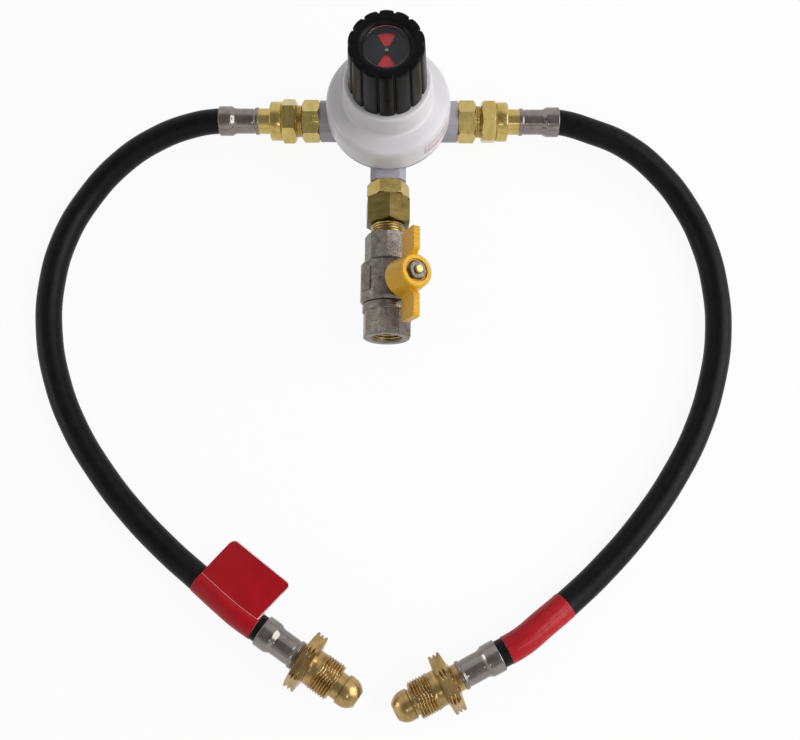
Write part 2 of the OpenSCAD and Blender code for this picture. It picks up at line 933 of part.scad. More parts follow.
// A bell crank: its long arm lies under the stem's foot, its short arm holds the seat pad.
module lever(side) {
    arm = lever_thickness / 2;
    color(brass) mirror([side == left ? 1 : 0, 0, 0]) difference() {
        translate([lever_pivot_x, lever_width / 2, lever_pivot_z]) rotate([90, 0, 0])
            linear_extrude(lever_width) union() {
                circle(r = lever_hub_r);
                translate([lever_inner_x - lever_pivot_x, -arm])
                    square([lever_pivot_x - lever_inner_x, 2 * arm]);
                translate([-arm, 0]) square([2 * arm, lever_arm_top - lever_pivot_z]);
            }
        translate([lever_pivot_x, 0, lever_pivot_z]) rotate([90, 0, 0])
            bore(lever_pin_r + running_gap, -lever_width, lever_width);
    }
}

module seat_pad(side) {
    color(rubber) along_inlet(side)
        bore(seat_pad_r, lever_face_x, lever_face_x + seat_pad_thickness);
}

module lever_pin(side) {
    half = lug_gap + lug_thickness;
    color(steel) translate([side * lever_pivot_x, 0, lever_pivot_z]) rotate([90, 0, 0])
        bore(lever_pin_r, -half, half);
}

// ---------- Inlet unions and hoses ----------

module inlet_adapter(side) {
    color(brass) along_inlet(side) difference() {
        union() {
            bore(inlet_socket_r - press_gap, boss_reach - socket_depth + free_gap, boss_reach);
            translate([0, 0, boss_reach]) nut_prism(6, inlet_flats, adapter_hex);
            bore(union_thread_r, adapter_end - eps, union_seat);
        }
        drill(gas_way_r - 1, boss_reach - socket_depth, union_seat);
    }
}

module union_nut(side) {
    shoulder = union_end - union_wall;
    turn = side == left ? left_union_turn : right_union_turn;
    color(brass) along_inlet(side) difference() {
        union() {
            translate([0, 0, union_start]) nut_prism(6, union_flats, union_hex, turn);
            turned([
                [0, union_hex_end - 1],
                [union_flats / 2 - 0.6, union_hex_end - 1],
                [union_flats / 2 - 0.6, union_hex_end],
                [union_round_r, union_hex_end + 0.6],
                [union_round_r, union_end - 0.6],
                [union_round_r - 0.6, union_end],
                [0, union_end]
            ]);
        }
        drill(union_thread_r + press_gap, union_start, shoulder);
        drill(inlet_shank_r + running_gap, shoulder, union_end);
    }
}

// The brass end of a hose inside a ferrule: a neck, then a ribbed stem in the hose's bore.
function barbed_stem(start, ahead) = [
    [ferrule_bore_r - press_gap, start],
    [ferrule_bore_r - press_gap, start + ahead * (collar_length + crimp_length)],
    [barb_r - 0.4, start + ahead * (collar_length + crimp_length)],
    for (i = [0:2]) each [
        [barb_r, start + ahead * (collar_length + crimp_length + barb_length * (i + 0.2) / 3)],
        [barb_r - 0.4, start + ahead * (collar_length + crimp_length + barb_length * (i + 1) / 3)]
    ],
    [0, start + ahead * (collar_length + crimp_length + barb_length)]
];

module inlet_tail(side) {
    shoulder = union_end - union_wall;
    color(brass) along_inlet(side) difference() {
        turned(concat(
            [
                [0, union_seat],
                [union_thread_r - 3, union_seat],
                [union_thread_r - 0.4, union_seat + 2],
                [union_thread_r - 0.4, shoulder - press_gap],
                [inlet_shank_r, shoulder - press_gap],
                [inlet_shank_r, inlet_ferrule_start]
            ],
            barbed_stem(inlet_ferrule_start, 1)
        ));
        drill(1.6, union_seat, inlet_mouth);
    }
}

// A ferrule along Z, with its collar at 0 and its mouth at ferrule_length.
module ferrule() {
    crimp_end = collar_length + crimp_length;
    color(steel) difference() {
        union() {
            turned([
                [0, 0],
                [collar_r - 0.8, 0],
                [collar_r, 0.8],
                [collar_r, collar_length - 0.8],
                [crimp_flats / 2, collar_length],
                [0, collar_length]
            ]);
            intersection() {
                bore(crimp_r, collar_length - 0.5, crimp_end + 1);
                rotate([0, 0, 22.5])
                    translate([0, 0, collar_length - 1])
                        cylinder(h = crimp_length + 2.5, r = crimp_flats / 2 / cos(22.5), $fn = 8);
            }
            turned([
                [0, crimp_end - 0.5],
                [crimp_flats / 2 - 0.2, crimp_end - 0.5],
                [ferrule_mouth_r, crimp_end + mouth_step],
                [ferrule_mouth_r, ferrule_length - 0.5],
                [ferrule_mouth_r - 0.5, ferrule_length],
                [0, ferrule_length]
            ]);
        }
        drill(ferrule_bore_r, 0, crimp_end + mouth_step);
        drill(mouth_bore_r, crimp_end + mouth_step, ferrule_length);
    }
}

module inlet_ferrule(side) {
    along_inlet(side) translate([0, 0, inlet_ferrule_start]) ferrule();
}

module hose(side) {
    color(rubber) swept(
        hose_route(side),
        round_outline(hose_r, hose_sides),
        round_outline(hose_bore_r, hose_sides)
    );
}

// ---------- Cylinder fittings ----------

module end_ferrule(side) {
    along_fitting(side) translate([0, 0, ferrule_length]) mirror([0, 0, 1]) ferrule();
}

// The rounded end of the bull nose: an arc from its side to the flat on its tip.
function nose_arc() =
    let (
        steps = 8,
        reach = 0.7 * nose_length,
        sweep = 2 * atan((nose_r - nose_tip_r) / reach),
        arc_r = reach / sin(sweep)
    )
    [
        for (i = [0:steps])
            let (angle = sweep * i / steps)
            [nose_r - arc_r * (1 - cos(angle)), fitting_length - reach + arc_r * sin(angle)]
    ];

module cylinder_tail(side) {
    stem = barbed_stem(ferrule_length, -1);
    stem_points = len(stem);
    color(brass) along_fitting(side) difference() {
        turned(concat(
            [for (i = [stem_points - 1:-1:0]) stem[i]],
            [
                [tail_shank_r, ferrule_length],
                [tail_shank_r, nose_start],
                [nose_r - 0.4, nose_start],
                [nose_r, nose_start + 0.4]
            ],
            nose_arc(),
            [[0, fitting_length]]
        ));
        drill(2.2, 0, fitting_length);
    }
}

// The hand-wheel nut along Z, with its back face at 0.
module cylinder_nut_shape() {
    rim_start = wheel_back;
    rim_end = wheel_back + wheel_rim;
    hub_end = rim_end + wheel_front;
    neck_end = hub_end + nut_neck;
    pitch = wheel_rim / ridge_count;
    groove_r = wheel_r - ridge_depth;
    color(brass) difference() {
        turned(concat(
            [
                [0, 0],
                [wheel_hub_r, 0],
                [wheel_hub_r + 1, 0.6]
            ],
            [
                for (i = [0:ridge_count - 1]) each [
                    [groove_r, rim_start + pitch * i],
                    [wheel_r, rim_start + pitch * (i + 0.3)],
                    [wheel_r, rim_start + pitch * (i + 0.7)]
                ]
            ],
            [
                [groove_r, rim_end],
                [wheel_front_r, hub_end],
                [nut_neck_r, hub_end],
                [nut_neck_r, neck_end],
                [nut_thread_r - 0.8, neck_end],
                [nut_thread_r, neck_end + 0.8],
                [nut_thread_r, nut_length - 1],
                [nut_thread_r - 1, nut_length],
                [0, nut_length]
            ]
        ));
        drill(tail_shank_r + running_gap, 0, nut_length);
        for (i = [0:rim_notches - 1])
            rotate([0, 0, 360 * i / rim_notches]) translate([wheel_r + 0.2, 0, 0])
                bore(0.9, 0, rim_end + 1);
    }
}

module cylinder_nut(side) {
    shift = side == left ? left_nut_shift : right_nut_shift;
    along_fitting(side) translate([0, 0, ferrule_length + shift]) cylinder_nut_shape();
}

// ---------- Tags ----------

module tag_sleeve(side) {
    swept(
        tag_route(side),
        round_outline(tag_inner_r + tag_thickness, hose_sides),
        round_outline(tag_inner_r, hose_sides)
    );
}

// The left tag's free end: a flat flag that leaves the sleeve beside the crest of the hose.
module tag_flag() {
    fold = 360 / hose_sides;
    foot = tag_inner_r * sin(fold) - 0.3;
    low = tag_inner_r * cos(fold) + 0.05;
    high = low + 2 * tag_thickness;
    swept(
        tag_route(left),
        [[-foot, low], [-foot, high], [-flag_reach, high], [-flag_reach, low]]
    );
}

module tag_left() {
    color(red) union() {
        tag_sleeve(left);
        tag_flag();
    }
}

module tag_right() {
    color(red) tag_sleeve(right);
}

// ---------- Outlet and ball valve ----------

module outlet_adapter() {
    color(brass) along_outlet() difference() {
        union() {
            bore(outlet_socket_r - press_gap, boss_reach - socket_depth + free_gap, boss_reach);
            translate([0, 0, boss_reach]) nut_prism(6, outlet_flats, outlet_hex, -8);
            bore(adapter_spigot_r, outlet_hex_end - eps, outlet_hex_end + adapter_spigot);
        }
        drill(gas_way_r, boss_reach - socket_depth, outlet_hex_end + adapter_spigot);
    }
}

module outlet_connector() {
    thread_end = valve_start + pipe_thread_held;
    color(brass) along_outlet() difference() {
        union() {
            translate([0, 0, outlet_hex_end]) nut_prism(6, connector_flats, connector_hex, 25);
            bore(pipe_thread_r, connector_end - 1, thread_end);
        }
        drill(adapter_spigot_r + press_gap, outlet_hex_end, outlet_hex_end + adapter_spigot);
        drill(gas_way_r, outlet_hex_end, thread_end);
    }
}

// A plain cast pad that stands a little off the side of the valve's barrel.
module barrel_pad() {
    translate([0, 0, (barrel_start + barrel_end) / 2]) rotate([0, 0, pad_turn])
        translate([0, -pad_width / 2, -pad_length / 2])
            cube([barrel_r + pad_height, pad_width, pad_length]);
}

module valve_body() {
    socket_end = valve_start + pipe_thread_held + free_gap;
    color(nickel) difference() {
        union() {
            along_outlet() {
                translate([0, 0, valve_start])
                    nut_prism(8, valve_inlet_flats, valve_inlet + 2);
                turned([
                    [0, barrel_start],
                    [barrel_r - 2.5, barrel_start],
                    [barrel_r, barrel_start + 2.5],
                    [barrel_r, barrel_end - 2],
                    [barrel_r - 1.5, barrel_end],
                    [0, barrel_end]
                ]);
                barrel_pad();
            }
            along_stem() bore(gland_r, 0, gland_height);
        }
        along_outlet() {
            drill(pipe_thread_r + press_gap, valve_start, socket_end);
            bore(gas_way_r + 1, socket_end - 1, cavity_start + 1);
            bore(valve_cavity_r, cavity_start, cavity_end + 1);
            drill(insert_thread_r, cavity_end, barrel_end);
        }
        along_stem() {
            bore(valve_stem_r + running_gap, 0, gland_height + 1);
            drill(packing_r, gland_height - packing_length, gland_height);
        }
    }
}

module valve_end() {
    color(nickel) along_outlet() difference() {
        union() {
            bore(insert_thread_r - press_gap, cavity_end, barrel_end + 0.5);
            turned([
                [0, barrel_end + eps],
                [valve_collar_r - 0.8, barrel_end + eps],
                [valve_collar_r, barrel_end + 0.8],
                [valve_collar_r, valve_collar_end - 0.8],
                [valve_collar_r - 0.8, valve_collar_end],
                [0, valve_collar_end]
            ]);
            translate([0, 0, valve_collar_end - 1])
                nut_prism(8, valve_outlet_flats, valve_outlet + 1, 13.5);
        }
        drill(gas_way_r + 1, cavity_end, valve_length_end);
        drill(outlet_bore_r, valve_length_end - outlet_bore_depth, valve_length_end);
        turned([
            [0, valve_length_end - 1],
            [outlet_bore_r, valve_length_end - 1],
            [outlet_bore_r + 1.2, valve_length_end + 0.2],
            [0, valve_length_end + 0.2]
        ]);
    }
}

// The ball, turned about the axis of its bore.
module valve_ball() {
    color(steel) difference() {
        along_outlet() translate([0, 0, valve_centre]) rotate_extrude() intersection() {
            circle(r = ball_r);
            translate([ball_bore_r, -ball_r]) square([ball_r, 2 * ball_r]);
        }
        along_stem() translate([-slot_width / 2, -ball_r, ball_r - slot_depth])
            cube([slot_width, 2 * ball_r, slot_depth + 1]);
    }
}

// A sealing ring between the ball and the end of the cavity.
module valve_seat(ahead) {
    color(ptfe) along_outlet() translate([0, 0, valve_centre]) mirror([0, 0, ahead < 0 ? 1 : 0])
        difference() {
            bore(valve_cavity_r - press_gap, ball_r - seat_length, ball_r);
            sphere(r = ball_r + ball_gap);
            drill(ball_bore_r, 0, ball_r);
        }
}

// The stem: a tang in the ball's slot, a round journal, a square and a threaded end.
module valve_stem() {
    tang = slot_width - 2 * ball_gap;
    color(steel) along_stem() union() {
        intersection() {
            bore(valve_stem_r, ball_r - slot_depth + ball_gap, ball_r + 1);
            translate([-tang / 2, -valve_stem_r, 0]) cube([tang, 2 * valve_stem_r, 2 * ball_r]);
        }
        bore(valve_stem_r, ball_r + ball_gap, hub_back);
        translate([-square_side / 2, -square_side / 2, hub_back - 1])
            cube([square_side, square_side, nut_seat - hub_back + 1]);
        turned([
            [0, hub_back],
            [stem_thread_r, hub_back],
            [stem_thread_r, stem_top - 0.6],
            [stem_thread_r - 0.6, stem_top],
            [0, stem_top]
        ]);
    }
}

module stem_packing() {
    color(ptfe) along_stem() difference() {
        bore(packing_r - press_gap, gland_height - packing_length, gland_height);
        drill(valve_stem_r + running_gap, gland_height - packing_length, gland_height);
    }
}

// One wing of the butterfly: a flat plate in the plane of the stem and the pipe, with a row of
// beads for the fingers along its front edge.
module handle_wing() {
    back = hub_back + wing_back;
    waist = hub_front - 4.5;
    root = hub_front_r - 4;
    row_start = hub_front_r + 5.8;
    pitch = (wing_reach - 1.8 - row_start) / (wing_beads - 2);
    translate([-wing_thickness / 2, 0, 0]) rotate([90, 0, 90]) linear_extrude(wing_thickness)
        difference() {
            polygon([
                [root, back],
                [wing_reach - 1, back],
                [wing_reach, back + 1.5],
                [wing_reach, hub_front - 1.2],
                [wing_reach - 1.2, hub_front],
                [hub_front_r + 5, hub_front],
                [hub_front_r + 4, hub_front - 0.6],
                [hub_front_r + 0.8, waist],
                [root, waist]
            ]);
            for (i = [0:wing_beads - 2])
                translate([row_start + pitch * i, hub_front]) circle(r = bead_gap);
        }
}

module valve_handle() {
    hole = square_side / 2 + press_gap;
    color(yellow) along_stem() difference() {
        union() {
            turned([
                [0, hub_back],
                [hub_back_r, hub_back],
                [hub_front_r + 0.3, hub_front - 0.8],
                [hub_front_r - 0.6, hub_front],
                [0, hub_front]
            ]);
            handle_wing();
            mirror([0, 1, 0]) handle_wing();
        }
        bore(hub_back_r - hub_wall, hub_back - 1, hub_back + hub_hollow);
        bore(hub_recess_r, nut_seat, hub_front + 1);
        translate([-hole, -hole, hub_back]) cube([2 * hole, 2 * hole, hub_height]);
    }
}

module handle_nut() {
    color(steel) along_stem() difference() {
        translate([0, 0, nut_seat]) nut_prism(6, handle_nut_flats, handle_nut_height);
        drill(stem_thread_r + press_gap, nut_seat, nut_seat + handle_nut_height);
    }
}

body_casting();
cover();
diaphragm();
diaphragm_plate();
diaphragm_stem();
main_spring();
spring_cup();
selector_shaft();
knob();
indicator_vane();
indicator_pin();
dial_mask();
window_lens();
inlet_nozzle(left);  // nozzle_left
inlet_nozzle(right);  // nozzle_right
lever(left);  // lever_left
lever(right);  // lever_right
lever_pin(left);  // lever_pin_left
lever_pin(right);  // lever_pin_right
seat_pad(left);  // seat_pad_left
seat_pad(right);  // seat_pad_right
inlet_adapter(left);  // adapter_left
inlet_adapter(right);  // adapter_right
union_nut(left);  // union_nut_left
union_nut(right);  // union_nut_right
inlet_tail(left);  // inlet_tail_left
inlet_tail(right);  // inlet_tail_right
inlet_ferrule(left);  // inlet_ferrule_left
inlet_ferrule(right);  // inlet_ferrule_right
hose(left);  // hose_left
hose(right);  // hose_right
end_ferrule(left);  // end_ferrule_left
end_ferrule(right);  // end_ferrule_right
cylinder_tail(left);  // cylinder_tail_left
cylinder_tail(right);  // cylinder_tail_right
cylinder_nut(left);  // cylinder_nut_left
cylinder_nut(right);  // cylinder_nut_right
tag_left();
tag_right();
outlet_adapter();
outlet_connector();
valve_body();
valve_end();
valve_ball();
valve_seat(-1);  // seat_upper
valve_seat(1);  // seat_lower
valve_stem();
stem_packing();
valve_handle();
handle_nut();
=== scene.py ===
"""The looks of the changeover gas regulator kit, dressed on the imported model.

Sizes are in millimetres here and become metres where a mesh is made. Stations along a line of
the object are counted as in the construction: from the knob's axis outwards, or from a hose's
mouth outwards.
"""

import json
from math import cos, pi, radians, sin, sqrt, tau

import bmesh
import bpy
from mathutils import Matrix, Vector
from mathutils.geometry import interpolate_bezier

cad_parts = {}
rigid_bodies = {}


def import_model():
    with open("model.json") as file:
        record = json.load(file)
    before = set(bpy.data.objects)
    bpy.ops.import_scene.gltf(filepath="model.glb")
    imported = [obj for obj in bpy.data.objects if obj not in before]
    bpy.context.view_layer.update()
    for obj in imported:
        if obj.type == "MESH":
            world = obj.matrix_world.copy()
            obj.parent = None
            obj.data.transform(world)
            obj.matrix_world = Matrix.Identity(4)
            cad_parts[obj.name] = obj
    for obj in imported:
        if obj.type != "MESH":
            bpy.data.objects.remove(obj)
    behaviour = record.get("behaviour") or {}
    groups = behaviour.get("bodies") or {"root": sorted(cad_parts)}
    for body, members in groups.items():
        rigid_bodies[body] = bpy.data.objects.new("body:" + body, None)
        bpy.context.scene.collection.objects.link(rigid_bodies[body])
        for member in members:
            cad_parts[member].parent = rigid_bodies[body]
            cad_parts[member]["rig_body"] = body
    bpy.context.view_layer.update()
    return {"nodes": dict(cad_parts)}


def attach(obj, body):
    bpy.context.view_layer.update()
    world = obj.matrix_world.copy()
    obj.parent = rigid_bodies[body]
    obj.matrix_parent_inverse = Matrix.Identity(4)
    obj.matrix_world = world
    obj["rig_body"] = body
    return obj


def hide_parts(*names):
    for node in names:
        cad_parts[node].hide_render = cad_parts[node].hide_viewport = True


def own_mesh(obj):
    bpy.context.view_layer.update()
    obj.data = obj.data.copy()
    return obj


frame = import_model()

MM = 0.001
LEFT = -1
RIGHT = 1
SIDES = {"left": LEFT, "right": RIGHT}
UP = Vector((0, 0, 1))
UPRIGHT = Matrix.Identity(4)

# ---------- Driving sizes, as in the construction ----------

PORT_HEIGHT = 22

FLANGE_TOP = 33
COVER_R = 39.75
COVER_ROOF = 55
COVER_WALL = 3
COVER_EDGE = 6
NECK_R = 27.5
NECK_FOOT = 56.7
NECK_TOP = 74.7

SHAFT_R = 5
KNOB_FOOT = 75
KNOB_HEIGHT = 40.5
KNOB_FOOT_R = 24.5
KNOB_TOP_R = 22.5
KNOB_HUB_R = 8.5
KNOB_SOCKET = 17
KNOB_HOLLOW_R = 19.5
KNOB_HOLLOW = 20
LOBES = 14

WINDOW_R = 13.7
WINDOW_LAND = 2
DISH_DEPTH = 2
LENS_THICKNESS = 1.5
LENS_LEDGE = 0.5
MASK_LEDGE = 0.6
MASK_HEIGHT = 2
WELL_DEPTH = 9.5

ADAPTER_END = 57
UNION_START = 61
UNION_THREAD_R = 10
UNION_PITCH = 1.4

HOSE_R = 8.25
FERRULE_BORE_R = 4.5
FERRULE_LENGTH = 26.2
FERRULE_MOUTH = 10.2
FERRULE_MOUTH_R = 9.65
COLLAR_LENGTH = 3.4
COLLAR_R = 8.9
CRIMP_LENGTH = 12.6
CRIMP_END = COLLAR_LENGTH + CRIMP_LENGTH
CRIMP_FLATS = 15.8
CRIMP_R = 8.3
CRIMP_SIDES = 8
MOUTH_STEP = 2.2
INLET_FERRULE = 85.8

FITTING_HEIGHT = 18.5
FITTING_MOUTH = {LEFT: (-72, -327), RIGHT: (68, -340)}
FITTING_HEADING = {LEFT: -34, RIGHT: 208}

# How far each cylinder nut has slid from its ferrule.
NUT_SHIFT = {LEFT: 0.3, RIGHT: 3.2}

CONNECTOR_END = 74.1
VALVE_START = 81.4
PIPE_THREAD_R = 10.48
PIPE_PITCH = 1.81
VALVE_END = 149.3
OUTLET_BORE_R = 9.32
OUTLET_BORE_DEPTH = 15

# The free points of each hose's route, from its inlet ferrule to its end ferrule.
FREE_POINTS = {
    LEFT: [
        (-130.5, -3, 21.5),
        (-155.5, -12.5, 19),
        (-179, -27.5, 14),
        (-199.5, -50.5, 9.5),
        (-213, -78, 8.5),
        (-219, -110, 8.5),
        (-218, -141, 8.5),
        (-210, -174, 8.5),
        (-196, -205, 8.5),
        (-178, -232, 8.5),
        (-156, -258, 8.5),
        (-131.5, -281.5, 8.5),
        (-111, -298, 11.5),
        (-98, -308.5, 15),
        (-85, -318.5, 17.8),
    ],
    RIGHT: [
        (133, -6, 21.5),
        (156.5, -15.5, 19),
        (178.5, -32, 14),
        (196, -54, 9.5),
        (207, -80, 8.5),
        (212.5, -110, 8.5),
        (212.5, -141, 8.5),
        (206.5, -172, 8.5),
        (195, -204, 8.5),
        (179, -233, 8.5),
        (158, -262, 8.5),
        (133, -289.5, 8.5),
        (108.5, -311.5, 11),
        (95, -322, 15),
        (81.5, -332.5, 17.8),
    ],
}
HOSE_END_GAP = 0.1
HOSE_INSET = FERRULE_MOUTH - MOUTH_STEP - HOSE_END_GAP


# ---------- Scene and camera ----------

# In metres and in degrees.
CAMERA_PLACE = (0.0128, -0.316, 0.628)
CAMERA_TURN = (13.6, 0.31, 0.4)


def new_object(name, data):
    """An object in the scene that shows the data."""
    thing = bpy.data.objects.new(name, data)
    bpy.context.scene.collection.objects.link(thing)
    return thing


def make_camera():
    data = bpy.data.cameras.new("camera")
    data.sensor_width = 36
    data.lens = 45
    data.clip_start = 0.05
    data.clip_end = 20
    camera = new_object("camera", data)
    camera.location = CAMERA_PLACE
    camera.rotation_euler = [radians(turn) for turn in CAMERA_TURN]
    bpy.context.scene.camera = camera


make_camera()


# ---------- Placements: each turns +Z along a line of the object ----------

def forward(distance):
    """A shift along the line itself."""
    return Matrix.Translation((0, 0, distance * MM))


def along_inlet(side):
    """Along an inlet, from the knob's axis outwards."""
    turn = Matrix.Rotation(side * pi / 2, 4, "Y")
    return Matrix.Translation((0, 0, PORT_HEIGHT * MM)) @ turn


def along_outlet():
    """Along the outlet, from the knob's axis outwards."""
    return Matrix.Translation((0, 0, PORT_HEIGHT * MM)) @ Matrix.Rotation(pi / 2, 4, "X")


def along_fitting(side):
    """Along a cylinder fitting, from its ferrule's mouth outwards."""
    x, y = FITTING_MOUTH[side]
    heading = Matrix.Rotation(radians(FITTING_HEADING[side]), 4, "Z")
    mouth = Matrix.Translation((x * MM, y * MM, FITTING_HEIGHT * MM))
    return mouth @ heading @ Matrix.Rotation(pi / 2, 4, "Y")


# ---------- Materials ----------

# The middle part of a noise field, which is spread over a range of colour or roughness.
FIELD_LOW = 0.3
FIELD_HIGH = 0.7


def shader_of(material):
    """The material's Principled shader."""
    return material.node_tree.nodes["Principled BSDF"]


def new_material(name, **sockets):
    """A material with one Principled shader, and the sockets set on it."""
    material = bpy.data.materials.new(name)
    material.use_nodes = True
    for socket, value in sockets.items():
        shader_of(material).inputs[socket.replace("_", " ")].default_value = value
    return material


def add_node(owner, kind, **values):
    """A new node of a material or a world, with the inputs of those names set."""
    node = owner.node_tree.nodes.new(kind)
    for name, value in values.items():
        node.inputs[name.replace("_", " ")].default_value = value
    return node


def link(owner, source, target):
    """Joins two sockets of a material or a world."""
    owner.node_tree.links.new(source, target)


def object_coordinates(material, stretch, heading):
    """Object coordinates in millimetres, stretched along the axes of a plan turned by heading."""
    place = add_node(material, "ShaderNodeTexCoord")
    mapping = add_node(
        material,
        "ShaderNodeMapping",
        Rotation=(0, 0, radians(heading)),
        Scale=[MM / s for s in stretch],
    )
    mapping.vector_type = "TEXTURE"
    link(material, place.outputs["Object"], mapping.inputs["Vector"])
    return mapping.outputs["Vector"]


def noise_field(material, size, detail=3, stretch=(1, 1, 1), heading=0):
    """Noise whose patches are about size millimetres across."""
    field = add_node(material, "ShaderNodeTexNoise", Scale=1 / size, Detail=detail)
    place = object_coordinates(material, stretch, heading)
    link(material, place, field.inputs["Vector"])
    return field.outputs["Fac"]


def vary_colour(material, field, low, high):
    """Base colour runs from low to high with the field."""
    ramp = add_node(material, "ShaderNodeValToRGB")
    stops = ramp.color_ramp.elements
    stops[0].position = FIELD_LOW
    stops[0].color = (*low, 1)
    stops[1].position = FIELD_HIGH
    stops[1].color = (*high, 1)
    link(material, field, ramp.inputs["Fac"])
    link(material, ramp.outputs["Color"], shader_of(material).inputs["Base Color"])


def vary_roughness(material, field, low, high):
    """Roughness runs from low to high with the field."""
    span = add_node(
        material,
        "ShaderNodeMapRange",
        From_Min=FIELD_LOW,
        From_Max=FIELD_HIGH,
        To_Min=low,
        To_Max=high,
    )
    link(material, field, span.inputs["Value"])
    link(material, span.outputs["Result"], shader_of(material).inputs["Roughness"])


def add_bump(material, field, height):
    """Bumps of that height in millimetres, on top of any that the material has."""
    bump = add_node(material, "ShaderNodeBump", Strength=1, Distance=height * MM)
    normal = shader_of(material).inputs["Normal"]
    if normal.links:
        link(material, normal.links[0].from_socket, bump.inputs["Normal"])
    link(material, field, bump.inputs["Height"])
    link(material, bump.outputs["Normal"], normal)


def cast_zinc():
    """Painted zinc die casting: grey with a little blue and a fine grain."""
    material = new_material("cast_zinc", Metallic=0.1)
    vary_colour(material, noise_field(material, 14), (0.35, 0.345, 0.385), (0.41, 0.405, 0.45))
    vary_roughness(material, noise_field(material, 3), 0.42, 0.58)
    add_bump(material, noise_field(material, 0.7, 4), 0.05)
    return material


def white_plastic():
    """The cover's white coating: semi-gloss with a faint orange peel."""
    material = new_material("white_plastic", Coat_Weight=0.15)
    vary_colour(material, noise_field(material, 30, 2), (0.66, 0.645, 0.665), (0.70, 0.685, 0.695))
    vary_roughness(material, noise_field(material, 5), 0.3, 0.4)
    add_bump(material, noise_field(material, 1.6, 2), 0.012)
    return material


def black_plastic():
    """The knob's moulded plastic: deep black with soft highlights."""
    material = new_material("black_plastic", Specular_IOR_Level=0.09)
    low = (0.0025, 0.0025, 0.0027)
    high = (0.006, 0.006, 0.0055)
    vary_colour(material, noise_field(material, 9), low, high)
    vary_roughness(material, noise_field(material, 2.5), 0.26, 0.38)
    add_bump(material, noise_field(material, 0.5, 4), 0.015)
    return material


def dial_plastic():
    """The mask under the lens: charcoal with a matt grain."""
    material = new_material("dial_plastic", Roughness=0.5, Specular_IOR_Level=0.2)
    vary_colour(material, noise_field(material, 3), (0.010, 0.011, 0.014), (0.015, 0.016, 0.021))
    add_bump(material, noise_field(material, 0.3, 3), 0.02)
    return material


def red_plastic():
    """The indicator's red."""
    material = new_material("red_plastic", Roughness=0.4)
    vary_colour(material, noise_field(material, 3), (0.61, 0.015, 0.03), (0.71, 0.02, 0.04))
    add_bump(material, noise_field(material, 0.4, 3), 0.01)
    return material


def clear_plastic():
    """The clear lens."""
    material = new_material(
        "clear_plastic", Base_Color=(0.97, 0.98, 0.98, 1), IOR=1.3, Transmission_Weight=1
    )
    vary_roughness(material, noise_field(material, 4), 0.02, 0.09)
    add_bump(material, noise_field(material, 6, 2), 0.01)
    return material


def rubber(name, low, high, smooth, rough):
    """Black rubber with dull patches and a fine skin."""
    material = new_material(name, Specular_IOR_Level=0.12)
    vary_colour(material, noise_field(material, 6, 4), low, high)
    vary_roughness(material, noise_field(material, 4, 5), smooth, rough)
    add_bump(material, noise_field(material, 0.45, 4), 0.03)
    add_bump(material, noise_field(material, 7, 2), 0.1)
    return material


def plain_metal(name, low, high, smooth, rough, patch=4):
    """A pressed or cast metal: patchy colour and roughness over a fine grain."""
    material = new_material(name, Metallic=1)
    vary_colour(material, noise_field(material, patch, 4), low, high)
    vary_roughness(material, noise_field(material, patch / 3, 4), smooth, rough)
    add_bump(material, noise_field(material, 0.3, 3), 0.003)
    return material


def turned_metal(name, low, high, smooth, rough, heading, height=0.004):
    """A metal turned on a lathe: fine rings across an axis that lies along the heading."""
    material = new_material(name, Metallic=1)
    rings = noise_field(material, 1.2, 3, (4, 0.12, 0.12), heading)
    fine_rings = noise_field(material, 0.3, 2, (2, 0.05, 0.05), heading)
    vary_colour(material, noise_field(material, 6, 4, (1.6, 0.5, 0.5), heading), low, high)
    vary_roughness(material, rings, smooth, rough)
    add_bump(material, fine_rings, height)
    add_bump(material, noise_field(material, 0.5, 3), height / 2)
    return material


def cast_nickel():
    """Nickel over a sand-cast brass body: a stippled skin."""
    low = (0.12, 0.102, 0.088)
    high = (0.22, 0.195, 0.172)
    material = plain_metal("cast_nickel", low, high, 0.24, 0.38)
    add_bump(material, noise_field(material, 0.75, 2), 0.3)
    return material


def yellow_enamel():
    """The handle's glossy enamel."""
    material = new_material("yellow_enamel", Specular_IOR_Level=0.3, Coat_Weight=0.1)
    vary_colour(material, noise_field(material, 8), (0.73, 0.38, 0.005), (0.80, 0.44, 0.007))
    vary_roughness(material, noise_field(material, 3), 0.25, 0.4)
    add_bump(material, noise_field(material, 1.4, 2), 0.03)
    return material


def red_film():
    """The tags' red film."""
    material = new_material(
        "red_film", Specular_IOR_Level=0.2, Coat_Weight=0.15, Coat_Roughness=0.05
    )
    vary_colour(material, noise_field(material, 9), (0.38, 0.002, 0.008), (0.46, 0.003, 0.010))
    vary_roughness(material, noise_field(material, 4), 0.4, 0.55)
    add_bump(material, noise_field(material, 5, 2), 0.1)
    return material


def pale_edge_and_highlight_film():
    """The tags' pale film: their bare white edge, and a painted highlight along the flag's fold
    and the right sleeve's edge.
    """
    material = new_material("pale_edge_and_highlight_film", Roughness=0.3)
    vary_colour(material, noise_field(material, 2), (0.66, 0.58, 0.60), (0.78, 0.74, 0.74))
    add_bump(material, noise_field(material, 0.6, 2), 0.02)
    return material


def label_film():
    """The plain label on the cover: a faint pink."""
    material = new_material("label_film", Roughness=0.35)
    vary_colour(material, noise_field(material, 1.4, 2), (0.62, 0.44, 0.48), (0.72, 0.63, 0.67))
    add_bump(material, noise_field(material, 0.5, 2), 0.01)
    return material


def sealing_plastic():
    """The valve's white sealing rings and packing."""
    material = new_material("sealing_plastic", Roughness=0.45)
    vary_colour(material, noise_field(material, 3), (0.78, 0.77, 0.72), (0.86, 0.85, 0.81))
    add_bump(material, noise_field(material, 0.5, 3), 0.02)
    return material


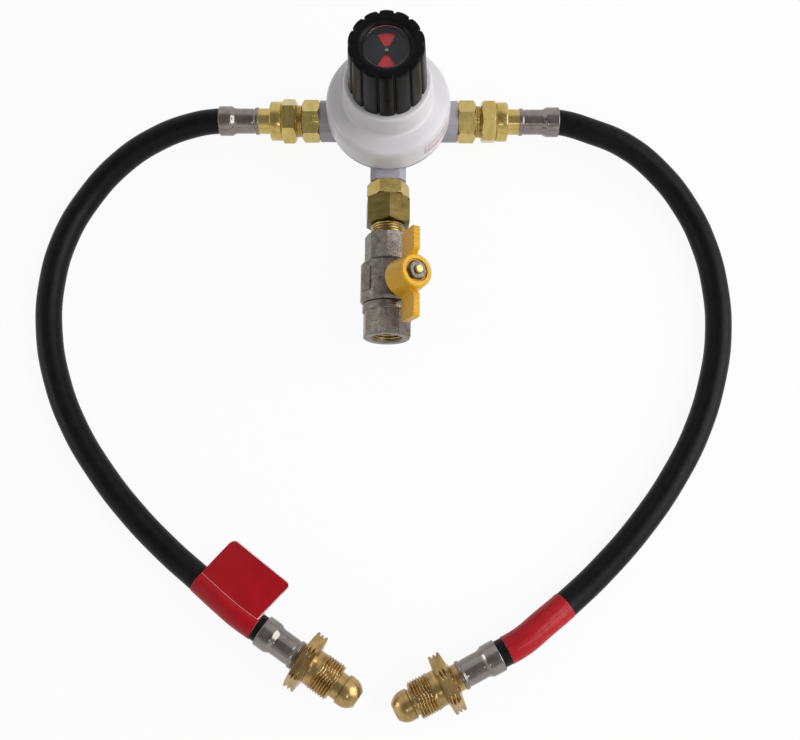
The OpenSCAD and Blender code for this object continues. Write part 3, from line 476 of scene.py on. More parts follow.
BRASS_LOW = (0.45, 0.335, 0.105)
BRASS_HIGH = (0.60, 0.465, 0.165)
OLD_BRASS_LOW = (0.085, 0.062, 0.019)
OLD_BRASS_HIGH = (0.155, 0.117, 0.038)
FITTING_LOW = (0.27, 0.17, 0.065)
FITTING_HIGH = (0.48, 0.335, 0.14)
INLET_BRASS = turned_metal("inlet_brass", BRASS_LOW, BRASS_HIGH, 0.18, 0.28, 0, 0.003)
OUTLET_BRASS = turned_metal("outlet_brass", BRASS_LOW, BRASS_HIGH, 0.22, 0.36, 90)
CONNECTOR_BRASS = turned_metal(
    "connector_brass", OLD_BRASS_LOW, OLD_BRASS_HIGH, 0.26, 0.42, 90
)
FITTING_BRASS = {
    side: turned_metal(
        f"{name}_fitting_brass",
        FITTING_LOW,
        FITTING_HIGH,
        0.22,
        0.36,
        FITTING_HEADING[side],
        0.002,
    )
    for name, side in SIDES.items()
}
STEEL = plain_metal("plated_steel", (0.19, 0.165, 0.155), (0.28, 0.255, 0.24), 0.15, 0.25, 6)
NUT_STEEL = plain_metal("nut_steel", (0.07, 0.06, 0.05), (0.17, 0.145, 0.125), 0.25, 0.4, 2)
STEM_BRASS = plain_metal("stem_brass", (0.42, 0.30, 0.10), (0.55, 0.42, 0.18), 0.28, 0.42, 2)
NICKEL = plain_metal("nickel", (0.42, 0.385, 0.36), (0.54, 0.50, 0.47), 0.22, 0.36)
THREAD_BRASS = plain_metal("thread_brass", (0.36, 0.24, 0.09), (0.50, 0.36, 0.14), 0.24, 0.38)
CAST_NICKEL = cast_nickel()
ZINC = cast_zinc()
WHITE = white_plastic()
BLACK = black_plastic()
DIAL = dial_plastic()
RED = red_plastic()
LENS = clear_plastic()
HOSE_RUBBER = rubber(
    "hose_rubber", (0.0022, 0.0022, 0.0024), (0.0055, 0.0055, 0.0057), 0.34, 0.48
)
SEAL_RUBBER = rubber("seal_rubber", (0.012, 0.012, 0.013), (0.02, 0.02, 0.021), 0.45, 0.6)
YELLOW = yellow_enamel()
RED_FILM = red_film()
PALE_EDGE_AND_HIGHLIGHT_FILM = pale_edge_and_highlight_film()
LABEL_FILM = label_film()
SEALING = sealing_plastic()


# ---------- Mesh tools ----------

# Edges that turn by more are shaded as sharp.
SHARP_ANGLE = radians(38)

# Corners that turn by less aren't rounded, and no rounding takes more of a side.
CORNER_ANGLE = radians(12)
CORNER_SHARE = 0.45

# The flat part of a thread's crest, as a share of its pitch.
CREST_SHARE = 0.2
RIGHT_HAND = 1
LEFT_HAND = -1


def add_mesh(name, vertices, faces, *materials):
    """A smooth-shaded mesh object, with its sharp edges marked."""
    mesh = bpy.data.meshes.new(name)
    mesh.from_pydata([tuple(v) for v in vertices], [], faces)
    for material in materials:
        mesh.materials.append(material)
    shape = bmesh.new()
    shape.from_mesh(mesh)
    bmesh.ops.recalc_face_normals(shape, faces=shape.faces)
    shape.to_mesh(mesh)
    shape.free()
    mesh.shade_smooth()
    mesh.set_sharp_from_angle(angle=SHARP_ANGLE)
    return new_object(name, mesh)


def grid_faces(rows, columns):
    """The quads between the points of a grid, row after row."""
    return [
        (a, a + 1, a + columns + 1, a + columns)
        for row in range(rows - 1)
        for a in range(row * columns, (row + 1) * columns - 1)
    ]


def thicken(sheet, thickness, rim_slot=0):
    """Gives a sheet a thickness in millimetres. Its rim takes that many material slots on."""
    film = sheet.modifiers.new("film", "SOLIDIFY")
    film.thickness = thickness * MM
    film.material_offset_rim = rim_slot


def rounded(outline, radius, steps, closed=False):
    """The outline with its corners rounded, as far as the sides beside each corner allow."""
    points = [Vector(p) for p in outline]
    count = len(points)
    result = []
    for i, corner in enumerate(points):
        if not closed and i in (0, count - 1):
            result.append(tuple(corner))
            continue
        before = points[i - 1] - corner
        after = points[(i + 1) % count] - corner
        turn = pi - before.angle(after)
        if turn < CORNER_ANGLE:
            result.append(tuple(corner))
            continue
        reach = min(radius, before.length * CORNER_SHARE, after.length * CORNER_SHARE)
        start = corner + before.normalized() * reach
        end = corner + after.normalized() * reach
        for k in range(steps + 1):
            t = k / steps
            result.append(tuple((1 - t) ** 2 * start + 2 * t * (1 - t) * corner + t ** 2 * end))
    return result


def refined(outline, step, start, end):
    """The outline with points at most step apart where it runs between two stations."""
    result = [outline[0]]
    for a, b in zip(outline, outline[1:]):
        inside = min(a[1], b[1]) < end and max(a[1], b[1]) > start
        parts = int(abs(b[1] - a[1]) / step) + 1 if inside else 1
        for k in range(1, parts + 1):
            t = k / parts
            result.append((a[0] + (b[0] - a[0]) * t, a[1] + (b[1] - a[1]) * t))
    return result


def turned(name, outline, place, material, segments, reshape=None, closed=False):
    """A skin of revolution about +Z from (radius, station) points. reshape(angle, radius,
    station) gives the radius there. A closed outline is a ring with a hole in it."""
    vertices = []
    rings = []
    for radius, station in outline:
        corners = segments if radius > 0 else 1
        ring = []
        for k in range(corners):
            angle = tau * k / segments
            r = reshape(angle, radius, station) if reshape and radius > 0 else radius
            ring.append(len(vertices))
            vertices.append(place @ (Vector((r * cos(angle), r * sin(angle), station)) * MM))
        rings.append(ring)
    if closed:
        rings.append(rings[0])
    faces = []
    for low, high in zip(rings, rings[1:]):
        for k in range(segments):
            corners = [
                low[k % len(low)],
                low[(k + 1) % len(low)],
                high[(k + 1) % len(high)],
                high[k % len(high)],
            ]
            face = list(dict.fromkeys(corners))
            if len(face) > 2:
                faces.append(face)
    return add_mesh(name, vertices, faces, material)


def smooth_step(value):
    """0 below 0, 1 above 1, and an even slope between them."""
    t = min(max(value, 0), 1)
    return t * t * (3 - 2 * t)


def from_middle(angle, flats, turn):
    """The angle from the middle of the nearest flat. The first flat's middle is at the turn."""
    sector = tau / flats
    return (angle - turn + sector / 2) % sector - sector / 2


def thread_valley(angle, station, pitch, hand):
    """0 on a thread's crest, which is a little flat, and 1 at the bottom of its valley."""
    phase = (station / pitch - hand * angle / tau) % 1
    return 1 - min(abs(2 * phase - 1) / (1 - CREST_SHARE), 1)


def ride_with(piece, node):
    """The piece moves with a CAD node's body."""
    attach(piece, frame["nodes"][node]["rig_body"])


def stand_for(piece, node):
    """The piece is shown in the CAD node's place."""
    ride_with(piece, node)
    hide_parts(node)


# ---------- Hoses ----------

def hose_points(side):
    """The hose's route in metres, with the ends that lie inside the ferrules."""
    mouth = Vector((*FITTING_MOUTH[side], FITTING_HEIGHT))
    heading = radians(FITTING_HEADING[side])
    ahead = Vector((cos(heading), sin(heading), 0))
    inlet_mouth = Vector((side * (INLET_FERRULE + FERRULE_LENGTH), 0, PORT_HEIGHT))
    inset = Vector((side * HOSE_INSET, 0, 0))
    free = [Vector(p) for p in FREE_POINTS[side]]
    points = [inlet_mouth - inset, inlet_mouth, *free, mouth, mouth + HOSE_INSET * ahead]
    return [p * MM for p in points]


def make_hose(name, side):
    """A hose as one smooth curve through its route."""
    points = hose_points(side)
    data = bpy.data.curves.new(name, "CURVE")
    data.dimensions = "3D"
    data.resolution_u = 12
    data.bevel_depth = HOSE_R * MM
    data.bevel_resolution = 14
    data.use_fill_caps = True
    spline = data.splines.new("BEZIER")
    spline.bezier_points.add(len(points) - 1)
    for knot, point in zip(spline.bezier_points, points):
        knot.co = point
        knot.handle_left_type = "AUTO"
        knot.handle_right_type = "AUTO"
    data.materials.append(HOSE_RUBBER)
    hose = new_object(name, data)
    bpy.context.view_layer.update()
    return hose


# ---------- Tags ----------

# A tag lies on the last stretches of its hose's free points, as far as its gap to the ferrule's
# mouth.
TAG_STRETCHES = 3
TAG_GAP = {LEFT: 3.4, RIGHT: 4.5}
TAG_STEPS = 24

# The sleeve: how high its film's inner and outer ends lie on the hose, how fast it winds down
# from one to the other, and where its outer edge runs.
FILM_INNER = 0.2
FILM_OUTER = 0.425
FILM_SLOPE = 1.3
FILM_THICKNESS = 0.2
SLEEVE_SEGMENTS = 72
SLEEVE_TURNS = 1.25
EDGE_ANGLE = {LEFT: radians(150), RIGHT: radians(82)}
EDGE_DRIFT = {LEFT: 0, RIGHT: radians(22)}

# The flag, as seen from the hose's line outwards: its fold, its edge and its rounded corners,
# how high it stands, bulges and droops, how it leans towards the fitting, and how fast its root
# turns from the hose's curve to a straight line.
FLAG_FOOT = 4
FLAG_FOLD = 0.35
FLAG_REACH = 31.6
FLAG_EDGE = 0.5
FLAG_CORNER = 3.5
FLAG_HEIGHT = 7.6
FLAG_CROWN = 1.5
FLAG_CROWN_SPAN = 0.9
FLAG_DROOP = 1.1
FLAG_SKEW = {"start": 2.4, "end": 3.2}
FLAG_STRAIGHTENING = 1.6
FLAG_THICKNESS = 0.35
FLAG_COLUMNS = 40


def tag_path(hose, side):
    """Points of the hose's own curve that its tag covers."""
    knots = hose.data.splines[0].bezier_points
    last = len(knots) - 2
    covered = knots[last - TAG_STRETCHES:last + 1]
    path = []
    for a, b in zip(covered, covered[1:]):
        path += interpolate_bezier(a.co, a.handle_right, b.handle_left, b.co, TAG_STEPS)[:-1]
    mouth = Vector((*FITTING_MOUTH[side], FITTING_HEIGHT)) * MM
    return [p for p in path if (p - mouth).length > TAG_GAP[side] * MM]


def path_frames(path):
    """For each point: the point, the direction across the hose and the direction up."""
    frames = []
    for i, point in enumerate(path):
        ahead = path[min(i + 1, len(path) - 1)] - path[max(i - 1, 0)]
        across = ahead.cross(UP).normalized()
        frames.append((point, across, across.cross(ahead).normalized()))
    return frames


def tag_sleeve(name, path, side):
    """The film round the hose: one and a bit turns, so that its pale outer edge shows; on the
    right tag that pale edge also stands for a painted highlight streak. The edge drifts round the
    hose in the middle of the sleeve."""
    columns = int(SLEEVE_SEGMENTS * SLEEVE_TURNS) + 1
    vertices = []
    for i, (point, across, up) in enumerate(path_frames(path)):
        start = EDGE_ANGLE[side] + EDGE_DRIFT[side] * sin(pi * i / (len(path) - 1))
        for k in range(columns):
            angle = start - tau * k / SLEEVE_SEGMENTS
            outer = smooth_step(FILM_SLOPE * (1 - k / SLEEVE_SEGMENTS))
            radius = (HOSE_R + FILM_INNER + (FILM_OUTER - FILM_INNER) * outer) * MM
            vertices.append(point + radius * (cos(angle) * across + sin(angle) * up))
    faces = grid_faces(len(path), columns)
    sleeve = add_mesh(name, vertices, faces, RED_FILM, PALE_EDGE_AND_HIGHLIGHT_FILM)
    # The rim takes the pale film: the film's bare edge, and on the right tag a painted highlight
    # streak.
    thicken(sleeve, FILM_THICKNESS, rim_slot=1)
    return sleeve


def flag_stations(from_end):
    """Distances from the hose's line over the fold, the sheet and its bare edge, at a place that
    far from the nearer end of the flag. The outer corners are rounded."""
    short = max(FLAG_CORNER - from_end, 0)
    reach = FLAG_REACH - FLAG_CORNER + sqrt(FLAG_CORNER ** 2 - short ** 2)
    inner = FLAG_FOOT + FLAG_FOLD
    step = (reach - FLAG_EDGE - inner) / FLAG_COLUMNS
    return [FLAG_FOOT, *(inner + step * k for k in range(FLAG_COLUMNS + 1)), reach]


def make_flag(name, path):
    """The left tag's free end: a stiff, straight-edged sheet that leaves the sleeve, lifts a
    little and leans towards the fitting. Its bare edge is pale, and its fold carries a painted
    highlight."""
    chord = path[-1] - path[0]
    ahead = chord.normalized()
    across = chord.cross(UP).normalized()
    up = across.cross(ahead)
    travel = [0]
    for a, b in zip(path, path[1:]):
        travel.append(travel[-1] + (b - a).length / MM)
    length = travel[-1]
    vertices = []
    for point, here in zip(path, travel):
        share = here / length
        crown = FLAG_CROWN * sin(pi * share * FLAG_CROWN_SPAN)
        skew = FLAG_SKEW["start"] * (1 - share) + FLAG_SKEW["end"] * share
        for station in flag_stations(min(here, length - here)):
            out = (station - FLAG_FOOT) / (FLAG_REACH - FLAG_FOOT)
            straight = smooth_step(out * FLAG_STRAIGHTENING)
            root = point.lerp(path[0] + chord * share, straight)
            lift = FLAG_HEIGHT + crown * out - FLAG_DROOP * out * out
            vertices.append(root + (up * lift - across * station + ahead * skew * out) * MM)
    columns = len(flag_stations(0))
    flag = add_mesh(name, vertices, grid_faces(len(path), columns), RED_FILM, PALE_EDGE_AND_HIGHLIGHT_FILM)
    for i, polygon in enumerate(flag.data.polygons):
        row, column = divmod(i, columns - 1)
        # The fold column is painted pale as a highlight; the outer column and the last row are the
        # bare edge.
        pale_edge_and_fold_highlight = column in (0, columns - 2) or row == len(path) - 2
        polygon.material_index = int(pale_edge_and_fold_highlight)
    thicken(flag, FLAG_THICKNESS, rim_slot=1)
    return flag


# ---------- Ferrules and cylinder fittings ----------

# The crimp's flats: where they start, over how much of the ferrule they come and go, and how
# much of the wall's own shape they keep. The wall's inside stays round.
CRIMP_START = COLLAR_LENGTH - 0.6
CRIMP_ENTRY = 1.4
CRIMP_EXIT = 1.8
CRIMP_SPRING = 0.8
CRIMP_INSIDE_R = HOSE_R - 0.3

# The cylinder nut, from its back face: a hexagonal wheel with notched corners, a neck, and a
# left-hand thread that has two flats. The turns say how far it is turned about its axis.
WHEEL_R = 18.3
WHEEL_FLATS = 31.7
WHEEL_BACK = 1.9
WHEEL_RIM = 6.8
WHEEL_FRONT = 0.9
WHEEL_HUB_R = 9
WHEEL_FRONT_R = 12.6
GROOVE_COUNT = 2
GROOVE_DEPTH = 1.9
GROOVE_WIDTH = 1.8
RIM_END = WHEEL_BACK + WHEEL_RIM
HUB_END = RIM_END + WHEEL_FRONT
NUT_NECK_R = 10.75
NUT_NECK_END = HUB_END + 4.3
NUT_THREAD_R = 11.45
NUT_THREAD_DEPTH = 0.95
NUT_PITCH = 1.8
NUT_FLAT = 10.73
NUT_LENGTH = 27
WHEEL_TURN = {LEFT: radians(181.5), RIGHT: radians(175.5)}
THREAD_TURN = {LEFT: radians(165), RIGHT: radians(181.5)}
TAIL_R = 8
TAIL_GAP = 0.05


def crimped(angle, radius, station):
    """Pressed flats round the crimp, which fade out at the collar and at the mouth."""
    if radius <= CRIMP_INSIDE_R:
        return radius
    enter = smooth_step((station - CRIMP_START) / CRIMP_ENTRY)
    leave = smooth_step((CRIMP_END + MOUTH_STEP - station) / CRIMP_EXIT)
    flat = CRIMP_FLATS / 2 / cos(from_middle(angle, CRIMP_SIDES, pi / CRIMP_SIDES))
    pressed = min(radius, flat + (radius - CRIMP_FLATS / 2) * CRIMP_SPRING)
    return radius + (pressed - radius) * min(enter, leave)


def make_ferrule(name, place):
    """A crimped ferrule along +Z, with its collar at 0: a rolled bead, a neck behind it, the
    crimp, a shoulder and the mouth."""
    hose_seat = CRIMP_END + MOUTH_STEP
    outline = [
        (FERRULE_BORE_R, 0),
        (COLLAR_R, 0),
        (COLLAR_R, COLLAR_LENGTH - 1),
        (CRIMP_R - 0.35, COLLAR_LENGTH - 0.5),
        (CRIMP_R - 0.1, COLLAR_LENGTH + 1),
        (CRIMP_R - 0.1, CRIMP_END - 0.8),
        (FERRULE_MOUTH_R, hose_seat - 0.2),
        (FERRULE_MOUTH_R, FERRULE_LENGTH),
        (HOSE_R + 0.2, FERRULE_LENGTH),
        (HOSE_R + 0.2, hose_seat),
        (FERRULE_BORE_R, hose_seat),
    ]
    shape = rounded(outline, radius=0.75, steps=4, closed=True)
    shape = refined(shape, step=0.5, start=COLLAR_LENGTH, end=FERRULE_LENGTH - 3)
    return turned(name, shape, place, STEEL, segments=128, reshape=crimped, closed=True)


def nut_threaded(angle, radius, station):
    """The left-hand thread, cut between the nut's neck and its end."""
    if radius < TAIL_R + 1.5:
        return radius
    enter = smooth_step((station - NUT_NECK_END) / NUT_PITCH)
    leave = smooth_step((NUT_LENGTH + 0.6 - station) / NUT_PITCH)
    valley = thread_valley(angle, station, NUT_PITCH, LEFT_HAND)
    return radius - NUT_THREAD_DEPTH * enter * leave * valley


def milled(side):
    """A reshape that mills the wheel's six flats, and cuts the thread with its two flats."""
    def reshape(angle, radius, station):
        if radius > WHEEL_FRONT_R:
            turn = from_middle(angle, 6, WHEEL_TURN[side])
            return min(radius, WHEEL_FLATS / 2 / cos(turn))
        turn = from_middle(angle, 2, THREAD_TURN[side])
        return min(nut_threaded(angle, radius, station), NUT_FLAT / max(cos(turn), 0.5))
    return reshape


def make_cylinder_nut(name, side, place):
    """The cylinder nut, with its back face at 0. The grooves round its rim are all that the
    flats leave of them: notches in the six corners, the mark of a left-hand thread."""
    grooves = []
    for i in range(GROOVE_COUNT):
        middle = WHEEL_BACK + WHEEL_RIM * (i + 1) / (GROOVE_COUNT + 1)
        grooves.append((WHEEL_R, middle - GROOVE_WIDTH / 2))
        grooves.append((WHEEL_R - GROOVE_DEPTH, middle))
        grooves.append((WHEEL_R, middle + GROOVE_WIDTH / 2))
    outline = [
        (TAIL_R + TAIL_GAP, 0),
        (WHEEL_HUB_R, 0),
        (WHEEL_HUB_R + 1, 0.6),
        (WHEEL_R, WHEEL_BACK),
        *grooves,
        (WHEEL_R, RIM_END),
        (WHEEL_FRONT_R, HUB_END),
        (NUT_NECK_R, HUB_END + 0.3),
        (NUT_NECK_R, NUT_NECK_END),
        (NUT_THREAD_R, NUT_NECK_END + 0.8),
        (NUT_THREAD_R, NUT_LENGTH - 1),
        (NUT_THREAD_R - 1, NUT_LENGTH),
        (TAIL_R + TAIL_GAP, NUT_LENGTH),
    ]
    brass = FITTING_BRASS[side]
    shape = rounded(outline, radius=0.35, steps=2, closed=True)
    shape = refined(shape, step=0.15, start=0.6, end=HUB_END)
    shape = refined(shape, step=NUT_PITCH / 8, start=NUT_NECK_END, end=NUT_LENGTH)
    return turned(name, shape, place, brass, segments=240, reshape=milled(side), closed=True)


# ---------- Regulator ----------

# The knob's lobes: their bulge, and the notch between two of them, as a share of the way from the
# middle of a lobe. On the knob's top they fade out that far inside its edge, over that width.
LOBE_CROWN = 0.5
NOTCH_DEPTH = 1.15
NOTCH_START = 0.74
NOTCH_SLOPE = 0.22
LOBE_REACH = 4.5
LOBE_FADE = 3.4

# The label on the cover: its start and its width in degrees, its height and its film.
LABEL_START = -54
LABEL_SPAN = 31
LABEL_HEIGHT = 8
LABEL_FILM_THICKNESS = 0.12
LABEL_COLUMNS = 24


def make_cover():
    """The white cover: a low drum with rounded shoulders and a neck under the knob."""
    shoulder = COVER_R - COVER_EDGE
    inner_roof = COVER_ROOF - COVER_WALL
    bore_r = SHAFT_R + 0.05
    outline = [
        (COVER_R - 2 * COVER_WALL, FLANGE_TOP),
        (COVER_R, FLANGE_TOP),
        (COVER_R, COVER_ROOF - COVER_EDGE),
        (COVER_R - 0.25 * COVER_EDGE, COVER_ROOF - 0.35 * COVER_EDGE),
        (shoulder, COVER_ROOF),
        (NECK_R, NECK_FOOT),
        (NECK_R, NECK_TOP),
        (bore_r, NECK_TOP),
        (bore_r, NECK_TOP - COVER_WALL),
        (NECK_R - COVER_WALL, NECK_TOP - COVER_WALL),
        (NECK_R - COVER_WALL, inner_roof),
        (shoulder, inner_roof),
        (COVER_R - COVER_WALL, inner_roof - COVER_EDGE),
    ]
    shape = rounded(outline, radius=2.4, steps=8, closed=True)
    return turned("cover_shell", shape, UPRIGHT, WHITE, segments=160, closed=True)


def lobed(angle, radius, station):
    """The lobes round the knob's side, which fade out on its top."""
    height = (station - KNOB_FOOT) / KNOB_HEIGHT
    outer = KNOB_FOOT_R + (KNOB_TOP_R - KNOB_FOOT_R) * height
    weight = smooth_step((radius - outer + LOBE_REACH) / LOBE_FADE)
    across = abs((angle * LOBES / tau % 1) * 2 - 1)
    notch = smooth_step((across - NOTCH_START) / NOTCH_SLOPE)
    return radius - weight * (LOBE_CROWN * across ** 2 + NOTCH_DEPTH * notch)


def make_knob():
    """The changeover knob: a lobed cup with a dished top and the window's well."""
    top = KNOB_FOOT + KNOB_HEIGHT
    socket_r = SHAFT_R + 0.02
    socket_top = KNOB_FOOT + KNOB_SOCKET
    hollow_top = KNOB_FOOT + KNOB_HOLLOW
    lens_seat = top - DISH_DEPTH - LENS_THICKNESS
    lens_hole_r = WINDOW_R - LENS_LEDGE
    well_floor = top - WELL_DEPTH
    mask_seat = well_floor + MASK_HEIGHT
    well_r = lens_hole_r - MASK_LEDGE
    outline = [
        (socket_r, socket_top),
        (socket_r, KNOB_FOOT),
        (KNOB_HUB_R, KNOB_FOOT),
        (KNOB_HUB_R, hollow_top),
        (KNOB_HOLLOW_R, hollow_top),
        (KNOB_HOLLOW_R, KNOB_FOOT),
        (KNOB_FOOT_R, KNOB_FOOT),
        (KNOB_TOP_R, top),
        (WINDOW_R + WINDOW_LAND, top),
        (WINDOW_R, top - DISH_DEPTH),
        (WINDOW_R, lens_seat),
        (lens_hole_r, lens_seat),
        (lens_hole_r, mask_seat),
        (well_r, mask_seat),
        (well_r, well_floor),
        (0, well_floor),
    ]
    shape = [(0, socket_top)] + rounded(outline, radius=1.3, steps=6)
    return turned("knob_shell", shape, UPRIGHT, BLACK, segments=448, reshape=lobed)


def make_spring():
    """A copy of the CAD's main spring, with a mesh of its own, shown in the CAD node's place."""
    node = frame["nodes"]["main_spring"]
    wire = [node.matrix_world @ vertex.co for vertex in node.data.vertices]
    faces = [tuple(polygon.vertices) for polygon in node.data.polygons]
    spring = add_mesh("pressure_spring", wire, faces, STEEL)
    stand_for(spring, "main_spring")
    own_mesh(spring)


def make_label():
    """A plain label on the cover's side, with nothing on it."""
    top = COVER_ROOF - COVER_EDGE
    radius = COVER_R + LABEL_FILM_THICKNESS
    vertices = []
    for height in (top - LABEL_HEIGHT, top):
        for k in range(LABEL_COLUMNS + 1):
            angle = radians(LABEL_START + LABEL_SPAN * k / LABEL_COLUMNS)
            vertices.append(Vector((radius * cos(angle), radius * sin(angle), height)) * MM)
    label = add_mesh("cover_label", vertices, grid_faces(2, LABEL_COLUMNS + 1), LABEL_FILM)
    thicken(label, LABEL_FILM_THICKNESS)
    return label


# ---------- Threads ----------

# How far a ring reaches into the CAD's plain wall and out of it, and its thread's depth.
RING_REACH = 0.5
RING_DEPTH = 0.75


def thread_ring(name, radius, start, end, pitch, place, inside=False):
    """A threaded sleeve over a plain cylinder, or inside a plain bore."""
    side = -1 if inside else 1
    wall = radius - side * RING_REACH
    crest = radius + side * RING_REACH
    outline = [(wall, start), (crest, start), (crest, end), (wall, end)]
    shape = refined(rounded(outline, radius=0.2, steps=1), pitch / 8, start, end)

    def reshape(angle, r, station):
        on_wall = abs(r - wall) < 0.02
        depth = 0 if on_wall else RING_DEPTH
        return r - side * depth * thread_valley(angle, station, pitch, RIGHT_HAND)

    return turned(name, shape, place, THREAD_BRASS, segments=96, reshape=reshape, closed=True)


# ---------- CAD nodes that keep their shape ----------

BEVEL_ANGLE = radians(28)


def round_edges(node, width):
    """Rounds a CAD node's edges without moving its mesh."""
    piece = frame["nodes"][node]
    weld = piece.modifiers.new("weld", "WELD")
    weld.merge_threshold = 0.002 * MM
    bevel = piece.modifiers.new("edges", "BEVEL")
    bevel.width = width * MM
    bevel.segments = 2
    bevel.limit_method = "ANGLE"
    bevel.angle_limit = BEVEL_ANGLE
    bevel.harden_normals = True


def paint(node, material):
    """Gives a CAD node its material."""
    data = frame["nodes"][node].data
    data.materials.clear()
    data.materials.append(material)


NODE_MATERIALS = {
    "body_casting": ZINC,
    "diaphragm": SEAL_RUBBER,
    "diaphragm_plate": STEEL,
    "diaphragm_stem": STEM_BRASS,
    "spring_cup": STEEL,
    "selector_shaft": STEM_BRASS,
    "indicator_vane": RED,
    "indicator_pin": STEEL,
    "dial_mask": DIAL,
    "window_lens": LENS,
    "outlet_adapter": OUTLET_BRASS,
    "outlet_connector": CONNECTOR_BRASS,
    "valve_body": CAST_NICKEL,
    "valve_end": CAST_NICKEL,
    "valve_ball": NICKEL,
    "seat_upper": SEALING,
    "seat_lower": SEALING,
    "valve_stem": STEM_BRASS,
    "stem_packing": SEALING,
    "valve_handle": YELLOW,
    "handle_nut": NUT_STEEL,
}
SIDE_MATERIALS = {
    "nozzle": INLET_BRASS,
    "lever": STEM_BRASS,
    "lever_pin": STEEL,
    "seat_pad": SEAL_RUBBER,
    "adapter": INLET_BRASS,
    "union_nut": INLET_BRASS,
    "inlet_tail": INLET_BRASS,
}

# How wide the edges that the CAD leaves sharp are rounded.
EDGE_WIDTHS = {
    "body_casting": 0.9,
    "outlet_adapter": 0.3,
    "outlet_connector": 0.35,
    "valve_body": 0.5,
    "valve_end": 0.4,
    "valve_handle": 0.6,
    "handle_nut": 0.25,
    "valve_stem": 0.2,
    "adapter_left": 0.3,
    "adapter_right": 0.3,
    "union_nut_left": 0.35,
    "union_nut_right": 0.35,
    "window_lens": 0.6,
}


# ---------- Assembly ----------

def dress_tag(name, side, hose):
    """The film sleeve round a hose, and on the left its flag."""
    path = tag_path(hose, side)
    tag = tag_sleeve(f"{name}_tag", path, side)
    stand_for(tag, f"tag_{name}")
    if side == RIGHT:
        return [tag]
    flag = make_flag(f"{name}_tag_flag", path)
    ride_with(flag, f"tag_{name}")
    return [tag, flag]


def dress_inlet(name, side):
    """The ferrule at a hose's regulator end."""
    inlet = along_inlet(side) @ forward(INLET_FERRULE)
    ferrule = make_ferrule(f"{name}_inlet_ferrule", inlet)
    stand_for(ferrule, f"inlet_ferrule_{name}")


def dress_fitting(name, side):
    """The ferrule and the nut at a hose's cylinder end."""
    fitting = along_fitting(side)
    facing_back = forward(FERRULE_LENGTH) @ Matrix.Rotation(pi, 4, "X")
    ferrule = make_ferrule(f"{name}_end_ferrule", fitting @ facing_back)
    stand_for(ferrule, f"end_ferrule_{name}")
    nut_place = fitting @ forward(FERRULE_LENGTH + NUT_SHIFT[side])
    nut = make_cylinder_nut(f"{name}_hand_wheel_nut", side, nut_place)
    stand_for(nut, f"cylinder_nut_{name}")
    return [ferrule, nut]


def dress_hose(name, side):
    """One hose, with what it carries at both ends."""
    hose = make_hose(f"{name}_hose", side)
    stand_for(hose, f"hose_{name}")
    on_hose = dress_tag(name, side, hose)
    dress_inlet(name, side)
    on_hose += dress_fitting(name, side)
    on_hose.append(frame["nodes"][f"cylinder_tail_{name}"])


def dress_union(name, side):
    """The thread that shows between an adapter and its union nut."""
    thread = thread_ring(
        f"{name}_union_thread",
        UNION_THREAD_R,
        ADAPTER_END + 0.2,
        UNION_START - 0.1,
        UNION_PITCH,
        along_inlet(side),
    )
    ride_with(thread, f"adapter_{name}")


def dress_outlet():
    """The thread that shows between the connector and the valve, and the one in the socket."""
    pipe_thread = thread_ring(
        "pipe_thread",
        PIPE_THREAD_R,
        CONNECTOR_END + 0.4,
        VALVE_START - 0.1,
        PIPE_PITCH,
        along_outlet(),
    )
    ride_with(pipe_thread, "outlet_connector")
    socket_thread = thread_ring(
        "socket_thread",
        OUTLET_BORE_R,
        VALVE_END - OUTLET_BORE_DEPTH + 0.5,
        VALVE_END - 1.4,
        PIPE_PITCH,
        along_outlet(),
        inside=True,
    )
    ride_with(socket_thread, "valve_end")


for node_name, finish in NODE_MATERIALS.items():
    paint(node_name, finish)
for stem_name, finish in SIDE_MATERIALS.items():
    for side_name in SIDES:
        paint(f"{stem_name}_{side_name}", finish)
for side_name, side in SIDES.items():
    paint(f"cylinder_tail_{side_name}", FITTING_BRASS[side])
for node_name, edge in EDGE_WIDTHS.items():
    round_edges(node_name, edge)

stand_for(make_cover(), "cover")
stand_for(make_knob(), "knob")
ride_with(make_label(), "cover")
make_spring()
for side_name, side in SIDES.items():
    dress_hose(side_name, side)
    dress_union(side_name, side)
dress_outlet()


# ---------- Floor, world and lamps ----------

# Sizes and places are in metres here.
KIT_CENTRE = (0, -0.17, 0.02)

# The share of its own white in what is seen of the floor. The rest is lit.
FLOOR_OWN = 0.93
FLOOR_SIZE = 8

# The room's dim patch: its tilt to the front, its outer and inner bounds as the cosine of the
# angle from its middle, and what is left of the white there.
PATCH_TILT = radians(12)
PATCH_OUTER = 0.5
PATCH_INNER = 0.9
PATCH_LEVEL = 0.3

ROOM_LIGHT = 0.42


def seen_rays(owner):
    """1 on rays from the camera, from reflections and through glass, and 0 on the rest."""
    rays = add_node(owner, "ShaderNodeLightPath")
    seen = rays.outputs["Is Camera Ray"]
    for kind in ("Is Glossy Ray", "Is Transmission Ray"):
        either = add_node(owner, "ShaderNodeMath")
        either.use_clamp = True
        link(owner, seen, either.inputs[0])
        link(owner, rays.outputs[kind], either.inputs[1])
        seen = either.outputs[0]
    return seen


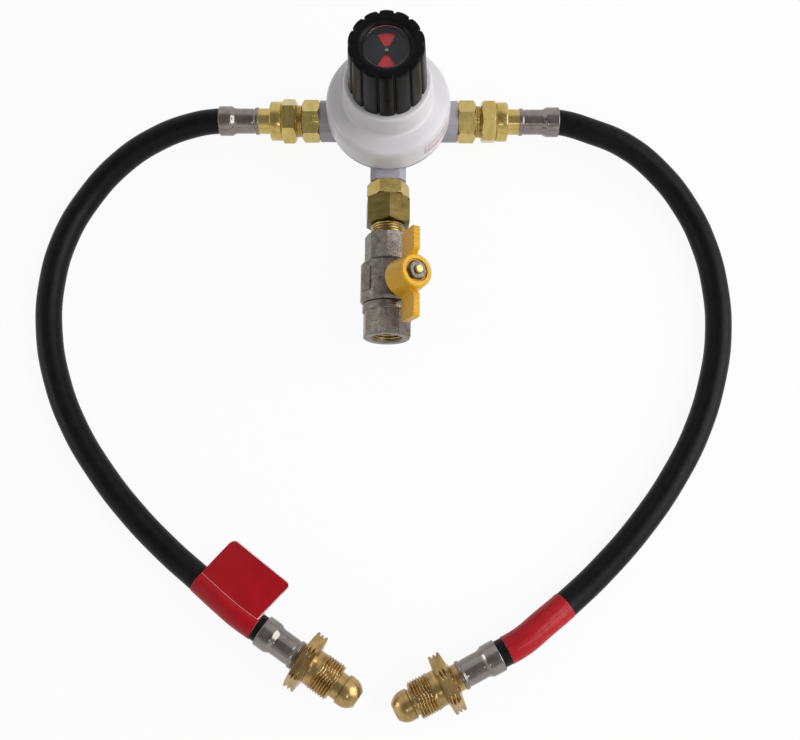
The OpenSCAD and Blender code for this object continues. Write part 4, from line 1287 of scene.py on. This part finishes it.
def make_floor():
    bpy.ops.mesh.primitive_plane_add(size=FLOOR_SIZE, location=(0, -0.18, 0))
    floor = bpy.context.object
    floor.name = "floor"
    material = bpy.data.materials.new("floor_white")
    material.use_nodes = True
    material.node_tree.nodes.clear()
    share = add_node(material, "ShaderNodeMapRange", To_Max=FLOOR_OWN)
    link(material, seen_rays(material), share.inputs["Value"])
    lit = add_node(material, "ShaderNodeBsdfDiffuse", Color=(0.9, 0.9, 0.9, 1))
    own = add_node(material, "ShaderNodeEmission", Color=(1, 1, 1, 1), Strength=1)
    mix = add_node(material, "ShaderNodeMixShader")
    output = add_node(material, "ShaderNodeOutputMaterial")
    link(material, share.outputs["Result"], mix.inputs[0])
    link(material, lit.outputs[0], mix.inputs[1])
    link(material, own.outputs[0], mix.inputs[2])
    link(material, mix.outputs[0], output.inputs["Surface"])
    floor.data.materials.append(material)


def make_world():
    """A soft studio room: white, but for a dim patch overhead and to the front. It lights the
    kit with less than is seen of it."""
    world = bpy.data.worlds.new("studio")
    bpy.context.scene.world = world
    world.use_nodes = True
    background = world.node_tree.nodes["Background"]
    background.inputs["Color"].default_value = (1, 1, 1, 1)
    place = add_node(world, "ShaderNodeTexCoord")
    nearness = add_node(world, "ShaderNodeVectorMath")
    nearness.operation = "DOT_PRODUCT"
    nearness.inputs[1].default_value = (0, -sin(PATCH_TILT), cos(PATCH_TILT))
    link(world, place.outputs["Generated"], nearness.inputs[0])
    level = add_node(
        world,
        "ShaderNodeMapRange",
        From_Min=PATCH_OUTER,
        From_Max=PATCH_INNER,
        To_Min=1,
        To_Max=PATCH_LEVEL,
    )
    level.interpolation_type = "SMOOTHSTEP"
    link(world, nearness.outputs["Value"], level.inputs["Value"])
    share = add_node(world, "ShaderNodeMapRange", To_Min=ROOM_LIGHT)
    link(world, seen_rays(world), share.inputs["Value"])
    strength = add_node(world, "ShaderNodeMath")
    strength.operation = "MULTIPLY"
    link(world, level.outputs["Result"], strength.inputs[0])
    link(world, share.outputs["Result"], strength.inputs[1])
    link(world, strength.outputs[0], background.inputs["Strength"])


def add_lamp(name, place, size, power):
    data = bpy.data.lights.new(name, "AREA")
    data.size = size
    data.energy = power
    lamp = new_object(name, data)
    lamp.location = place
    aim = Vector(KIT_CENTRE) - Vector(place)
    lamp.rotation_euler = aim.to_track_quat("-Z", "Y").to_euler()


make_floor()
make_world()
add_lamp("key_lamp", (1.5, -0.2, 1.2), size=1.8, power=34)
add_lamp("front_lamp", (0.1, -1, 1.15), size=0.2, power=0.8)
add_lamp("low_lamp", (-1.3, -0.2, 0.5), size=0.4, power=2)

bpy.context.scene.view_settings.view_transform = "Standard"
